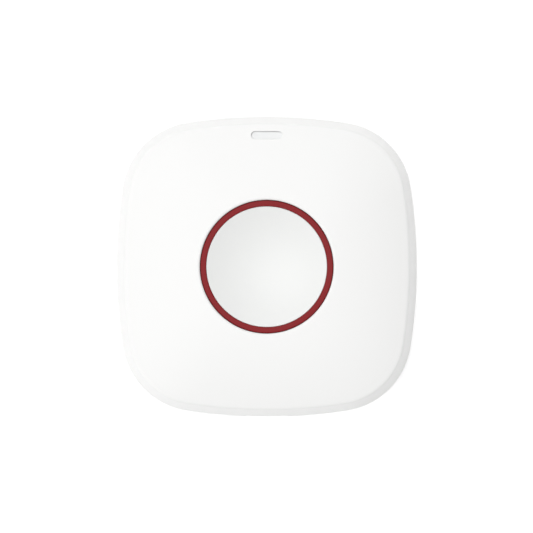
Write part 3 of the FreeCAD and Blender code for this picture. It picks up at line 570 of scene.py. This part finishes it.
rebate = outline(turns, RIM_WALL)
rows += [lift(rebate, foot), lift(rebate, REBATE_TOP), inner_wall(REBATE_TOP), inner_wall(catch_low - HAIR)]
rows += [inner_wall(z, hook_reach + CATCH_GAP) for z in (catch_low + HAIR, catch_top - HAIR)]
rows += [inner_wall(catch_top + HAIR)]
roof_row = len(rows)
rows += [inner_wall(height) for height in np.linspace(BLOCK_FOOT, ROOF_CORNER, WALL_ROWS)]
roof_edge = rows[-1][:, :2]
tube_top = ray * (MOUTH + TUBE_WALL)
block_shares = np.linspace(0.0, ROOF_BLOCK, WINDOW_ROWS + 2 - WALL_ROWS)[1:]
roof_shares = np.concatenate([block_shares, [0.35, 0.55, 0.75, 0.9, 1.0]])
rows += [lift(roof_edge + (tube_top - roof_edge) * share, roof_height) for share in roof_shares]
rows += [lift(tube_top, TUBE_END)]
cover_points = np.concatenate(rows)
cover_faces = grid_faces(len(rows), COLUMNS, close_rows=True)
print("rows:", len(rows), "points:", len(cover_points))


# %% [markdown]
# ## The window slot
#
# The slot is cut through the crown. The grid makes room for it: a block of cells is left out on the
# outside and another on the inside, and rings of quads lead from the block's edge to the slot's
# outline. As many points lie on the slot as on the block's edge, and more of them on its round ends
# than on its straight sides. The rings stay on the crown, because the same formula lifts them.

# %% Outline of the slot and the loops round the blocks
SLOT_LONG = 6.7
SLOT_WIDE = 1.67
SLOT_ROUND = 0.12
END_CELLS = 5
SLOT_INSET = 4.0
slot_y = HALF - SLOT_INSET


def stadium(grow):
    """Outline with two round ends, sampled clockwise from the lower right.

    Each point is a centre that slides between the two ends plus the radius times a direction. The
    direction turns at the ends and rests along the straight sides.
    """
    straight = WINDOW_COLUMNS - 2 * END_CELLS
    knots = np.cumsum([0] + [END_CELLS, straight, END_CELLS, WINDOW_ROWS] * 2)
    angles = np.radians([-45, -90, -90, -135, -225, -270, -270, -315, -405])
    offset = (SLOT_LONG - SLOT_WIDE) / 2 * np.array([1, 1, -1, -1, -1, -1, 1, 1, 1])
    index = np.arange(knots[-1])
    angle, centre = np.interp(index, knots, angles), np.interp(index, knots, offset)
    radius = SLOT_WIDE / 2 + grow
    return np.column_stack([centre + radius * np.cos(angle), slot_y + radius * np.sin(angle)])


def block_loop(row_a, row_b):
    """Numbers of the grid points round the block, clockwise seen from the front."""
    columns = np.arange(window_first, window_last)
    step = np.sign(row_b - row_a)
    lines = np.arange(row_a, row_b, step)
    return np.concatenate([
        row_a * COLUMNS + columns, lines * COLUMNS + window_last,
        row_b * COLUMNS + columns[::-1] + 1, (lines + step)[::-1] * COLUMNS + window_first])


def block_cells(row_a, row_b):
    """Which cells of the cover's grid lie in the block."""
    inside = np.zeros(cover_faces.shape[:2], bool)
    inside[min(row_a, row_b):max(row_a, row_b), window_first:window_last] = True
    return inside


outer_loop = block_loop(window_row, window_row + WINDOW_ROWS)
inner_loop = block_loop(roof_row + WINDOW_ROWS, roof_row)
kept = ~(block_cells(window_row, window_row + WINDOW_ROWS) | block_cells(roof_row, roof_row + WINDOW_ROWS))
print("loop points:", len(outer_loop), len(inner_loop), "stadium points:", len(stadium(0.0)))

# %% Rings from the blocks to the slot, and the slot's wall
around_slot = [lift(cover_points[outer_loop, :2] * (1 - s) + stadium(SLOT_ROUND) * s, crown_height)
               for s in (0.25, 0.5, 0.75, 0.93, 1.0)]
slot_top = lift(stadium(SLOT_ROUND), crown_height)
slot_corner = lift(stadium(0.0), crown_height)
slot_foot = lift(stadium(0.0), roof_height)
turning = rounded(slot_top, slot_corner, slot_corner - [0, 0, SLOT_ROUND], 6)[1:]
walls = between(slot_corner - [0, 0, SLOT_ROUND], slot_foot, [0.04, 0.5, 1.0])
under_slot = [lift(cover_points[inner_loop, :2] * (1 - s) + stadium(0.0) * s, roof_height)
              for s in (0.75, 0.5, 0.25)]
slot_rows = around_slot + turning + walls + under_slot
slot_points = np.concatenate(slot_rows)
new = len(cover_points) + np.arange(len(slot_points)).reshape(len(slot_rows), -1)
loops = np.vstack([outer_loop, new, inner_loop])
beside = np.roll(loops, -1, 1)
slot_faces = np.stack([loops[:-1], beside[:-1], beside[1:], loops[1:]], -1)

piece("front_cover_shell", np.concatenate([cover_points, slot_points]),
      np.concatenate([cover_faces[kept], slot_faces.reshape(-1, 4)]),
      case_finish, "case_white", ["front_cover"], "case")


# %% [markdown]
# ## Turned shapes and plates
#
# Many pieces are turned: a profile of radius and height carried round an axis. The others are plates:
# a flat outline with a thickness. Both close at their ends, where a row of points falls together into
# one pole.

# %% Turned shapes and plates
def turned(profile, angles):
    """Points of a profile carried round the axis: radius times the direction of each angle, at the
    profile's height."""
    radius, height = np.asarray(profile, float).T
    x = radius[:, None] * np.cos(angles)
    y = radius[:, None] * np.sin(angles)
    z = np.broadcast_to(height[:, None], x.shape)
    return np.stack([x, y, z], axis=-1)


def turned_solid(profile, columns, at=(0.0, 0.0, 0.0), close=False):
    """Points and faces of a turned solid about an upright axis through a point."""
    grid = turned(profile, full_turn(columns))
    return grid.reshape(-1, 3) + at, grid_faces(len(profile), columns, close_rows=close)


def capped(grid):
    """Points and faces of rows of points whose two ends close on their own middles."""
    ends = [np.broadcast_to(row.mean(axis=0), row.shape) for row in (grid[0], grid[-1])]
    closed = np.stack([ends[0], *grid, ends[1]])
    return closed.reshape(-1, 3), grid_faces(*closed.shape[:2])


def plate(loop, low, high, upright=False):
    """Points and faces of a plate: its outline at one face and at the other, and both middles.

    The outline is x, y and the faces are heights, or with upright x, z and the faces are at y.
    """
    points, faces = capped([lift(np.asarray(loop, float), face) for face in (low, high)])
    return points[:, [0, 2, 1]] if upright else points, faces


# %% [markdown]
# ## Ring
#
# The ring's profile closes on itself: a narrow flat top that shows, a skirt below it and a flange
# that keeps the button in the case. The flange has three key ways, in which the guide frame's posts
# stop the button from turning. There the flange's outer radius falls back to the skirt's.

# %% The red ring
RING_ROUND = 0.24
FLANGE = ring_high[0]
FLANGE_UNDER = ring_low[2]
FLANGE_TOP = FLANGE_UNDER + FLANGE_THICK
FLANGE_INNER = 11.6
LEDGE_INNER = 12.2
LEDGE_DEEP = 1.6
LEDGE = dish_high[2] - LEDGE_DEEP
RING_HOLD = 0.05
KEY_HALF = 0.95
KEY_BESIDE = 1.02
KEY_HAIR = 0.002
ring_top = ring_high[2]

visible = softened([(RING_INNER, LEDGE + RING_HOLD), (RING_INNER, ring_top), (RING_OUTER, ring_top),
                    (RING_OUTER, FLANGE_TOP + RING_HOLD)], RING_ROUND, 7)
ring_profile = np.vstack([
    [(RING_INNER, LEDGE)], visible,
    [(RING_OUTER, FLANGE_TOP), (FLANGE, FLANGE_TOP), (FLANGE, FLANGE_UNDER), (FLANGE_INNER, FLANGE_UNDER),
     (FLANGE_INNER, FLANGE_TOP), (LEDGE_INNER, FLANGE_TOP), (LEDGE_INNER, LEDGE)]])
flange_row = len(visible) + 2

key_angle = np.arcsin(KEY_HALF / RING_OUTER)
beside_key = key_angle * KEY_BESIDE
third = np.concatenate([np.linspace(-key_angle, key_angle, 5),
                        np.linspace(beside_key, 2 * np.pi / 3 - beside_key, 52)])
ring_angles = np.concatenate([third + np.pi + k * 2 * np.pi / 3 for k in range(3)])
ring_grid = turned(ring_profile, ring_angles)
in_key = np.tile(np.abs(third) <= key_angle, 3)
shrink = np.where(in_key, (RING_OUTER + KEY_HAIR) / FLANGE, 1.0)
ring_grid[flange_row:flange_row + 2, :, :2] *= shrink[None, :, None]
piece("ring_red", ring_grid, grid_faces(len(ring_profile), len(ring_angles), close_rows=True),
      ring_finish, "ring_red", ["button_ring"], "button")


# %% [markdown]
# ## Cap
#
# The cap's top is part of a large sphere, hollowed where the thumb goes. Under it a post leads to the
# switch, and six thin ribs carry the load from the post to the rim, so that the thin dish doesn't
# flex. Moulders make such ribs rather than a thick floor, because thick plastic sinks as it cools.

# %% The hollow cap
CAP_GAP = 0.03
CAP_ROUND = 0.24
UNDER_ROUND = 0.1
CAP_DEPTH = 2.0
CAP_THICK = 1.5
POST = 3.5
cap_edge = RING_INNER - CAP_GAP
cap_rim = dish_high[2]
cap_under = cap_rim - CAP_DEPTH - CAP_THICK
sphere = (cap_edge**2 + CAP_DEPTH**2) / (2 * CAP_DEPTH)


def hollow(radius):
    """Height of the hollow: a sphere that touches the cap's lowest point and passes through its rim."""
    return cap_rim - CAP_DEPTH + sphere - np.sqrt(sphere**2 - radius**2)


radii = np.linspace(0.0, cap_edge - CAP_ROUND, 33)[:-1]
lip = softened([(radii[-1], hollow(radii[-1])), (cap_edge, cap_rim), (cap_edge, LEDGE)], CAP_ROUND, 7)
cap_profile = np.vstack([
    np.column_stack([radii, hollow(radii)]), lip[1:],
    softened([(cap_edge, LEDGE), (LEDGE_INNER - CAP_GAP, LEDGE), (POST, cap_under), (POST, dish_low[2]),
              (0.0, dish_low[2])], UNDER_ROUND, 3)[1:]])
piece("push_cap", *turned_solid(cap_profile, 160), cap_finish, "dish_white", ["button_dish"], "button")

# %% The ribs under the cap
RIB_HALF = 0.5
RIB_SHORT = 1.0
RIB_DEEP = 1.0
RIB_SUNK = 0.5
rib_end = LEDGE_INNER - RIB_SHORT
rib_loop = [(POST / 2, cap_under + CAP_THICK / 2), (POST / 2, cap_under), (rib_end, LEDGE - RIB_DEEP),
            (rib_end, LEDGE + RIB_SUNK)]
piece("cap_ribs", *joined(repeated(6, plate(rib_loop, -RIB_HALF, RIB_HALF, upright=True))),
      cap_finish, "dish_white", ["button_dish"], "button")


# %% [markdown]
# ## Bosses inside the cover
#
# Four bosses hang from the roof and take the screws that clamp board and guide frame. Each is a post
# with a blind hole, tied to the wall's corner by a thin web, because a free post that tall would
# break off when the screw bites.

# %% Bosses and webs
BOSS_INSET = 12.0
BOSS_AT = HALF - BOSS_INSET
BOSS_RADIUS = 2.75
BOSS_SHORT = 1.0
BOSS_ROOT = APEX - WALL - BOSS_SHORT
BOSS_ROUND = 0.12
PILOT = 1.05
PILOT_SPARE = 0.4
EAR = 1.6
WEB = 1.2
boss_end = board_top + EAR
pilot_end = box_mm("board_screws")[1][2] + PILOT_SPARE
boss_profile = np.vstack([[(0.0, pilot_end)], softened([
    (PILOT, pilot_end), (PILOT, boss_end), (BOSS_RADIUS, boss_end), (BOSS_RADIUS, BOSS_ROOT)],
    BOSS_ROUND, 3), [(0.0, BOSS_ROOT)]])
boss = turned_solid(boss_profile, 32, at=(BOSS_AT, BOSS_AT, 0.0))
web_start = BOSS_AT + PILOT
web_end = BOSS_AT + BOSS_RADIUS + WEB
across = WEB / 2 / np.sqrt(2)
web_loop = [(web_start + across, web_start - across), (web_end + across, web_end - across),
            (web_end - across, web_end + across), (web_start - across, web_start + across)]
web = plate(web_loop, boss_end + WEB, BOSS_ROOT - WEB)
piece("cover_bosses", *joined(repeated(4, boss, web)), case_finish, "case_white", ["front_cover"],
      "case")


# %% [markdown]
# ## The window's light pipe
#
# The pipe fills the slot with a little play and ends a third of a millimetre below the crown, with a
# softened edge. It lies against one side of the slot, so the play shows as a fine dark line at the
# top and at the left. Below the crown it slides back to stand over the lamp. Its rows are copies of
# the slot's outline, and they shrink to the centre line at the two ends.

# %% Light pipe
PIPE_GAP = 0.036
PIPE_LEAN = np.array([0.03, -0.03])
WINDOW_SINK = 0.36
PIPE_ROUND = 0.03
KNEE_TOP = 3.6
KNEE_LOW = 1.8
pipe_low = box_mm("light_pipe")[0][2]
led_low, led_high = box_mm("status_led")
pipe_shift = (led_low[1] + led_high[1]) / 2 - slot_y
collapse = -SLOT_WIDE / 2


def pipe_row(grow, height, back=0.0):
    """The slot's outline, grown or shrunk, at a height and slid back towards the lamp."""
    return lift(stadium(grow) + PIPE_LEAN + [0.0, back], height)


def sunk(x, y):
    """Visible end of the pipe: the crown's form, a little lower."""
    return crown_height(x, y) - WINDOW_SINK


pipe_rows = [pipe_row(collapse, sunk), pipe_row(collapse / 2, sunk),
             pipe_row(-PIPE_GAP - PIPE_ROUND - HOLD, sunk)]
pipe_rows += rounded(pipe_row(-PIPE_GAP - PIPE_ROUND, sunk), pipe_row(-PIPE_GAP, sunk),
                     pipe_row(-PIPE_GAP, sunk) - [0, 0, PIPE_ROUND], 5)
pipe_rows += [
    pipe_row(-PIPE_GAP, pipe_low + KNEE_TOP), pipe_row(-PIPE_GAP, pipe_low + KNEE_LOW, pipe_shift),
    pipe_row(-PIPE_GAP, pipe_low, pipe_shift), pipe_row(collapse, pipe_low, pipe_shift)]
piece("window_pipe", np.concatenate(pipe_rows), grid_faces(len(pipe_rows), len(pipe_rows[0])),
      window_finish, "window_clear", ["light_pipe"], "case")


# %% [markdown]
# ## Spring steel and screw steel
#
# The metal inside is nickel-plated: spring steel for the plate, the coil and the contacts, and
# hardened steel for the screws. Plating is bright, and rolling leaves fine lines along the strip, so
# the tooth is stretched into lines. A metal has no colour of its own below the surface: its base
# colour is the tint of its reflections, and it keeps the default index of refraction.

# %% Nickel-plated steel
steel_finish = skin("steel_nickel_plated", ("#B6B5B1", "#BCBBB7"), (0.22, 0.38), 2.0, 0.12, 0.001,
                    {"Metallic": 1.0}, stretch=(0.08, 1.0, 1.0))


# %% [markdown]
# ## The spring plate under the button
#
# A stamped ring lies in the guide frame, and three fingers rise from it to the button's flange and
# push it back up. When the button goes down the fingers flatten, so this is its own piece with a
# mesh of its own. Each finger is a strip: a path seen from the side, with a thickness across it and
# a width along y.

# %% Spring plate
SHEET = 0.2
FINGER_SHEET = 0.98 * SHEET
ROOT_SHEET = 0.96 * SHEET
SPRING_INNER = 8.2
SPRING_OUTER = 10.8
FINGER_REACH = 4.0
FINGER_WIDE = 2.0
FINGER_FOOT = 1.0
FINGER_BEND = 0.5
FINGER_Y = -12.4
ROOT_Y = -8.85
spring_low, spring_high = box_mm("spring_plate")


def strip(path, thick, near, far):
    """Points and faces of a bent strip: a path in x, z, half a thickness to both sides of it along
    its normal, between y near and y far."""
    path = np.asarray(path, float)
    along = np.gradient(path, axis=0)
    normal = np.column_stack([-along[:, 1], along[:, 0]]) / np.hypot(*along.T)[:, None]
    upper, lower = path + normal * thick / 2, path - normal * thick / 2
    sides = [(upper, near), (upper, far), (lower, far), (lower, near)]
    lines = [np.column_stack([line[:, 0], np.full(len(line), y), line[:, 1]]) for line, y in sides]
    return capped(np.stack(lines, 1))


low, high = spring_low[2] + SHEET / 2, spring_high[2] - SHEET / 2
finger_path = softened([(-FINGER_REACH, low), (-FINGER_REACH + FINGER_WIDE, low),
                        (FINGER_REACH - FINGER_FOOT, high), (FINGER_REACH, high)], FINGER_BEND, 6)
finger = strip(finger_path, FINGER_SHEET, FINGER_Y - FINGER_WIDE, FINGER_Y)
root_left, root_right = -FINGER_REACH, -FINGER_REACH + FINGER_WIDE
root_start = FINGER_Y - FINGER_WIDE / 2
root = plate([(root_left, root_start), (root_right, root_start), (root_right, ROOT_Y),
              (root_left, ROOT_Y)], low - ROOT_SHEET / 2, low + ROOT_SHEET / 2)
under, over = low - SHEET / 2, low + SHEET / 2
spring_ring = turned_solid([(SPRING_INNER, under), (SPRING_OUTER, under), (SPRING_OUTER, over),
                            (SPRING_INNER, over)], 96, close=True)
return_spring = piece("return_spring", *joined([spring_ring, *repeated(3, finger, root)]), steel_finish,
                      "bright_steel", ["spring_plate"], "case")
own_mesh(return_spring)


# %% [markdown]
# ## The pad between cap and switch
#
# A soft silicone pad under the post takes up what is left of the stroke after the switch has
# clicked. It is squeezed between the post, which comes down by 0.8 mm, and the switch, which gives
# way by 0.35 mm. It rides on the button and has a mesh of its own.

# %% Silicone pad
silicone_finish = skin("silicone_rubber_grey", ("#A5A7A8", "#ADAFB0"), (0.55, 0.65), 3.0, 0.4, 0.003,
                       {"IOR": 1.41, "Subsurface Weight": 0.3, "Subsurface Scale": MM})
pad_low, pad_high = box_mm("actuator_pad")
pad_radius = pad_high[0]
PAD_BEVEL = 0.45
PAD_ROUND = 0.15
pad_profile = softened([
    (0.0, pad_low[2]), (pad_radius - PAD_BEVEL, pad_low[2]), (pad_radius, pad_low[2] + PAD_BEVEL),
    (pad_radius, pad_high[2]), (0.0, pad_high[2])], PAD_ROUND, 4)
soft_pad = piece("soft_pad", *turned_solid(pad_profile, 64), silicone_finish, "soft_silicone",
                 ["actuator_pad"], "button")
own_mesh(soft_pad)


# %% [markdown]
# ## The tamper pin's coil spring
#
# A small coil of round wire pushes the tamper pin out through the back when the button is lifted from
# its wall. The wire is a tube about a helix: a point is the helix's point plus half the wire's
# thickness times a direction that turns in the plane across the helix. Its upper end sits against the
# switch and its lower end against the pin.

# %% Coil spring
COIL_RADIUS = 1.7
COIL_WIRE = 0.24
COIL_TURNS = 3
coil_low, coil_high = box_mm("tamper_spring")
pin_low, pin_high = box_mm("tamper_pin")
coil_x, coil_y = (pin_low[:2] + pin_high[:2]) / 2
coil_start, coil_end = coil_low[2] + COIL_WIRE / 2, coil_high[2] - COIL_WIRE / 2


def coil(columns):
    """Tube about a helix. Outwards is the radial direction, and across is at right angles to it
    and to the wire's own direction."""
    turn = np.linspace(0, 2 * np.pi * COIL_TURNS, 48 * COIL_TURNS + 1)[:, None]
    rise = (coil_end - coil_start) / (2 * np.pi * COIL_TURNS)
    out = np.hstack([np.cos(turn), np.sin(turn), 0 * turn])
    wire = np.hstack([-np.sin(turn), np.cos(turn), 0 * turn + rise / COIL_RADIUS])
    across = np.cross(wire / np.linalg.norm(wire, axis=1)[:, None], out)
    middle = out * COIL_RADIUS + [coil_x, coil_y, coil_start] + [0, 0, rise] * turn
    angle = full_turn(columns)[None, :, None]
    direction = np.cos(angle) * out[:, None] + np.sin(angle) * across[:, None]
    return capped(middle[:, None] + COIL_WIRE / 2 * direction)


pin_coil = piece("pin_coil", *coil(12), steel_finish, "bright_steel", ["tamper_spring"])
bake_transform(pin_coil)


# %% [markdown]
# ## Screws
#
# Four pan-head screws for plastic. One closed grid makes a whole screw: it starts in the middle of
# the cross recess, runs over the head and along the shank, and ends in the tip. Two things break its
# symmetry. The head sinks in where a point lies in the cross: close to one axis and not far out
# along the other. The shank's radius grows once in every pitch, at a height that rises by one pitch
# in a turn: a thread.

# %% Pan-head screws
SHANK = 1.0
THREAD_DEEP = 0.2
PITCH = 0.8
HEAD = 2.2
HEAD_THICK = 1.6
HEAD_FLAT = HEAD * 0.84
HEAD_EDGE = 0.45
HEAD_ROUND = 0.3
HEAD_ROWS = 26
CROSS_HALF = 0.26
CROSS_SOFT = 0.08
CROSS_LONG = 1.25
CROSS_END = 0.3
CROSS_DEEP = 0.9
SHANK_HOLD = 0.05
TIP_HOLD = 0.02
ROWS_A_TURN = 9
TIP = 0.7
TIP_SHARE = 0.5
screws_low, screws_high = box_mm("board_screws")
screw_angles = full_turn(56)


def smooth_step(value, start, end):
    """Zero before start and one after end, with an even curve 3 t^2 - 2 t^3 between them."""
    t = np.clip((value - start) / (end - start), 0.0, 1.0)
    return t * t * (3 - 2 * t)


def screw_points():
    """Rows from the recess over the head and along the threaded shank to the tip."""
    head_top, seat, tip = screws_low[2], screws_low[2] + HEAD_THICK, screws_high[2]
    top_radii = np.linspace(0.0, HEAD_FLAT, HEAD_ROWS)
    top = turned(np.column_stack([top_radii, np.full(HEAD_ROWS, head_top)]), screw_angles)
    near = np.minimum(np.abs(top[..., 0]), np.abs(top[..., 1]))
    far = np.maximum(np.abs(top[..., 0]), np.abs(top[..., 1]))
    in_slot = 1 - smooth_step(near, CROSS_HALF - CROSS_SOFT, CROSS_HALF + CROSS_SOFT)
    in_reach = 1 - smooth_step(far, CROSS_LONG - CROSS_END, CROSS_LONG)
    top[..., 2] += CROSS_DEEP * in_slot * in_reach
    side = turned(softened([(HEAD_FLAT, head_top), (HEAD, head_top + HEAD_EDGE), (HEAD, seat),
                            (SHANK, seat)], HEAD_ROUND, 5)[1:], screw_angles)
    heights = np.arange(seat + SHANK_HOLD, tip - TIP_HOLD, PITCH / ROWS_A_TURN)
    shank = turned(np.column_stack([np.ones(len(heights)), heights]), screw_angles)
    phase = (heights[:, None] / PITCH - screw_angles / (2 * np.pi)) % 1.0
    starting = smooth_step(heights, seat, seat + PITCH)[:, None]
    ridge = np.clip(1 - np.abs(phase - 0.5) * 4, 0.0, 1.0) * starting
    taper = 1 - TIP_SHARE * smooth_step(heights, tip - TIP, tip)[:, None]
    shank[..., :2] *= ((SHANK - THREAD_DEEP + THREAD_DEEP * ridge) * taper)[..., None]
    end = turned([(0.0, tip)], screw_angles)
    return np.concatenate([top, side, shank, end])


screw_grid = screw_points()
screw = screw_grid.reshape(-1, 3) + [BOSS_AT, BOSS_AT, 0.0], grid_faces(*screw_grid.shape[:2])
piece("case_screws", *joined(repeated(4, screw)), steel_finish, "bright_steel", ["board_screws"], "case")


# %% [markdown]
# ## Finishes of the inner pieces
#
# Nothing inside shows in the picture, yet each piece is dressed as what it is, because the case can
# be opened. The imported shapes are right, so only their material slots are filled.
#
# - The frame, the holder, the switches' bodies and the tamper pin are glass-filled nylon: dark, dull,
#   with the faint fibres of the filling, drawn as short lines.
# - The cell's can is drawn stainless steel, satin with faint scuffs.
# - The switch plungers are natural acetal, milky and slightly slippery.
# - Chips are moulded epoxy, near black with a fine blasted surface. The capacitor's epoxy is ochre.
# - The lamp is white ceramic with a clear lens.

# %% Skins of the inner pieces
nylon_finish = skin("black_nylon_glass_filled", ("#1A1A1B", "#1E1E1F"), (0.45, 0.62), 3.0, 0.25, 0.003,
                    {"IOR": 1.53}, stretch=(1.0, 4.0, 1.0))
can_finish = skin(
    "stainless_steel_satin", ("#B9B9B7", "#C0C0BE"), (0.26, 0.42), 1.4, 0.2, 0.002, {"Metallic": 1.0})
acetal_finish = skin("acetal_natural", ("#E6E4DD", "#EBE9E2"), (0.32, 0.38), 2.0, 0.3, 0.001,
                     {"IOR": 1.48, "Subsurface Weight": 0.2, "Subsurface Scale": MM})
chip_finish = skin(
    "epoxy_chip_black", ("#202022", "#242426"), (0.44, 0.52), 2.0, 0.15, 0.004, {"IOR": 1.55})
ochre_finish = skin(
    "epoxy_capacitor_ochre", ("#B58631", "#BC8D38"), (0.38, 0.46), 2.0, 0.2, 0.003, {"IOR": 1.55})
lamp_finish = skin("lamp_ceramic_white", ("#EBEBE4", "#EFEFE8"), (0.26, 0.34), 1.0, 0.2, 0.001,
                   {"IOR": 1.5, "Subsurface Weight": 0.3, "Subsurface Scale": 0.5 * MM})


# %% [markdown]
# ## The board: solder mask over copper
#
# A circuit board is glass laminate with copper tracks under a green lacquer. The lacquer is glossy and
# a little lighter where copper lies under it, and the tracks stand up by some hundredths of a
# millimetre. The joints of a brick pattern make good tracks: with bricks 27 times as long as they are
# high, the joints run side by side 1 mm apart and only now and then cross over. The sawn edge has no
# lacquer: where the surface faces sideways, the pale laminate shows.

# %% Green solder mask
TRACK_PITCH = 1.0
board_finish, board_tree, board_shader = bare(
    "solder_mask_green", "#14532F", {"Roughness": 0.28, "IOR": 1.5})
board_place = add(board_tree, "ShaderNodeTexCoord")
tracks = add(board_tree, "ShaderNodeTexBrick",
             {"offset": 0.31, "squash": 0.8, "Scale": 1.0 / (TRACK_PITCH * MM), "Brick Width": 27.0,
              "Row Height": 1.0, "Mortar Size": 0.12, "Mortar Smooth": 0.3,
              "Color1": colour("#14532F"), "Color2": colour("#114C2A"), "Mortar": colour("#2F7A48")},
             {"Vector": board_place.outputs["Object"]})
facing_z = add(board_tree, "ShaderNodeSeparateXYZ", {}, {"Vector": board_place.outputs["Normal"]})
flat = add(board_tree, "ShaderNodeMath", {"operation": "ABSOLUTE"}, {0: facing_z.outputs["Z"]})
board_colour = add(board_tree, "ShaderNodeMix", {"data_type": "RGBA", 6: colour("#B9B184")},
                   {0: flat.outputs[0], 7: tracks.outputs["Color"]})
board_tree.links.new(board_colour.outputs[2], board_shader.inputs["Base Color"])
raised = add(board_tree, "ShaderNodeBump", {"Strength": 1.0, "Distance": 0.03 * MM},
             {"Height": tracks.outputs["Fac"]})
board_tree.links.new(raised.outputs["Normal"], board_shader.inputs["Normal"])
print("made", board_finish.name)

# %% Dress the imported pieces
DRESSED = [
    (case_finish, ["rear_cover"]),
    (nylon_finish,
     ["guide_frame", "battery_holder", "panic_switch_body", "tamper_switch_body", "tamper_pin"]),
    (steel_finish, ["panic_switch_plate", "radio_shield", "antenna_strip", "crystal",
                    "positive_contact", "negative_contact"]),
    (can_finish, ["coin_cell"]),
    (board_finish, ["circuit_board"]),
    (acetal_finish, ["panic_switch_plunger", "tamper_switch_plunger"]),
    (chip_finish, ["controller_chip", "chip_resistors"]),
    (ochre_finish, ["buffer_capacitor"]),
    (lamp_finish, ["status_led"]),
]
for material, names in DRESSED:
    for name in names:
        nodes[name].material_slots[0].material = material
print("dressed", sum(len(names) for _, names in DRESSED), "packed pieces")


# %% [markdown]
# ## Floor and backdrop
#
# The picture's ground is plain white. The floor is a matte white board that takes the object's
# shadow. To the camera and in reflections it also glows a little, just enough to reach white where
# no shadow falls. The sky does the same: it lights the object evenly and looks white.

# %% Floor and sky
FLOOR_DROP = 0.05
FLOOR_HALF = 3000.0
FLOOR_GLOW = 0.40
SKY = 0.57


def seen_directly(tree):
    """One where a camera ray, a reflection or a ray through glass looks, and nothing elsewhere."""
    path = add(tree, "ShaderNodeLightPath")
    both = add(tree, "ShaderNodeMath", {"operation": "MAXIMUM"},
               {0: path.outputs["Is Camera Ray"], 1: path.outputs["Is Glossy Ray"]})
    return add(tree, "ShaderNodeMath", {"operation": "MAXIMUM"},
               {0: both.outputs[0], 1: path.outputs["Is Transmission Ray"]}).outputs[0]


def floor_board():
    """White matte board with a glow for the camera and for reflections."""
    made, tree, shader = bare(
        "floor_board_white", "#F3F3F3",
        {"Roughness": 0.9, "Specular IOR Level": 0.0, "Emission Color": (1.0, 1.0, 1.0, 1.0)})
    glow = add(tree, "ShaderNodeMath", {"operation": "MULTIPLY", 1: FLOOR_GLOW}, {0: seen_directly(tree)})
    tree.links.new(glow.outputs[0], shader.inputs["Emission Strength"])
    return made


corners = np.array([(-1, -1, 0), (1, -1, 0), (1, 1, 0), (-1, 1, 0)]) * FLOOR_HALF
corners[:, 2] = cad_low[2] / MM - FLOOR_DROP
floor_mesh = bpy.data.meshes.new("floor")
floor_mesh.from_pydata((corners * MM).tolist(), [], [(0, 1, 2, 3)])
floor_mesh.materials.append(floor_board())
floor = put("floor", floor_mesh)

world = bpy.data.worlds.new("studio_sky")
bpy.context.scene.world = world
world.use_nodes = True
sky = world.node_tree.nodes["Background"]
level = add(world.node_tree, "ShaderNodeMapRange", {"To Min": SKY, "To Max": 1.0},
            {"Value": seen_directly(world.node_tree)})
world.node_tree.links.new(level.outputs["Result"], sky.inputs["Strength"])
sky.inputs["Color"].default_value = (1.0, 1.0, 1.0, 1.0)
print("floor at", round(float(corners[0, 2]), 3), "mm")


# %% [markdown]
# ## Lamps
#
# Three soft boxes light the case. One hangs nearly overhead and gives the flat front its even tone.
# The others stand low, beyond the top edge and at the lower left. They lighten the flanks from the
# top round to the lower left and leave the right and bottom ones a shade darker. They also turn the
# hollow cap round: the side that faces away from them, at the upper left, is the greyer one.

# %% Soft boxes
BOX_DISTANCE = 0.9
BOX_SIZE = 0.45


def soft_box(name, azimuth, elevation, brightness):
    """Square lamp that faces the object. Alone it makes a white face that looks at it this bright."""
    lamp = bpy.data.lights.new(name, "AREA")
    lamp.shape = "SQUARE"
    lamp.size = BOX_SIZE
    lamp.energy = brightness * np.pi**2 * BOX_DISTANCE**2
    box = put(name, lamp)
    around, up = np.radians(azimuth), np.radians(elevation)
    direction = Vector((np.cos(up) * np.cos(around), np.cos(up) * np.sin(around), np.sin(up)))
    box.location = direction * BOX_DISTANCE
    box.rotation_euler = direction.to_track_quat("Z", "Y").to_euler()
    print(name, "power:", round(lamp.energy, 2), "W")


soft_box("overhead_soft_box", azimuth=150.0, elevation=82.0, brightness=0.26)
soft_box("left_soft_box", azimuth=210.0, elevation=30.0, brightness=0.222)
soft_box("top_soft_box", azimuth=90.0, elevation=30.0, brightness=0.185)


# %% [markdown]
# ## Camera
#
# The photograph looks straight at the front, and the flared wall shows as a band of even width all
# round, so it was taken from far off. A camera with parallel rays does the same.

# %% Camera
IMAGE = 533
PIXEL = 65.0 / 300.0
OBJECT_AT = np.array([266.7, 266.7])
CAMERA_HIGH = 0.6
shift = (IMAGE / 2 - OBJECT_AT) * PIXEL * MM

lens = bpy.data.cameras.new("front_camera")
lens.type = "ORTHO"
lens.ortho_scale = IMAGE * PIXEL * MM
lens.clip_start = 0.01
lens.clip_end = 10.0
camera = put("front_camera", lens)
camera.location = (shift[0], -shift[1], CAMERA_HIGH)
bpy.context.scene.camera = camera
bpy.context.scene.view_settings.view_transform = "Standard"
print("picture is", round(IMAGE * PIXEL, 2), "mm wide")
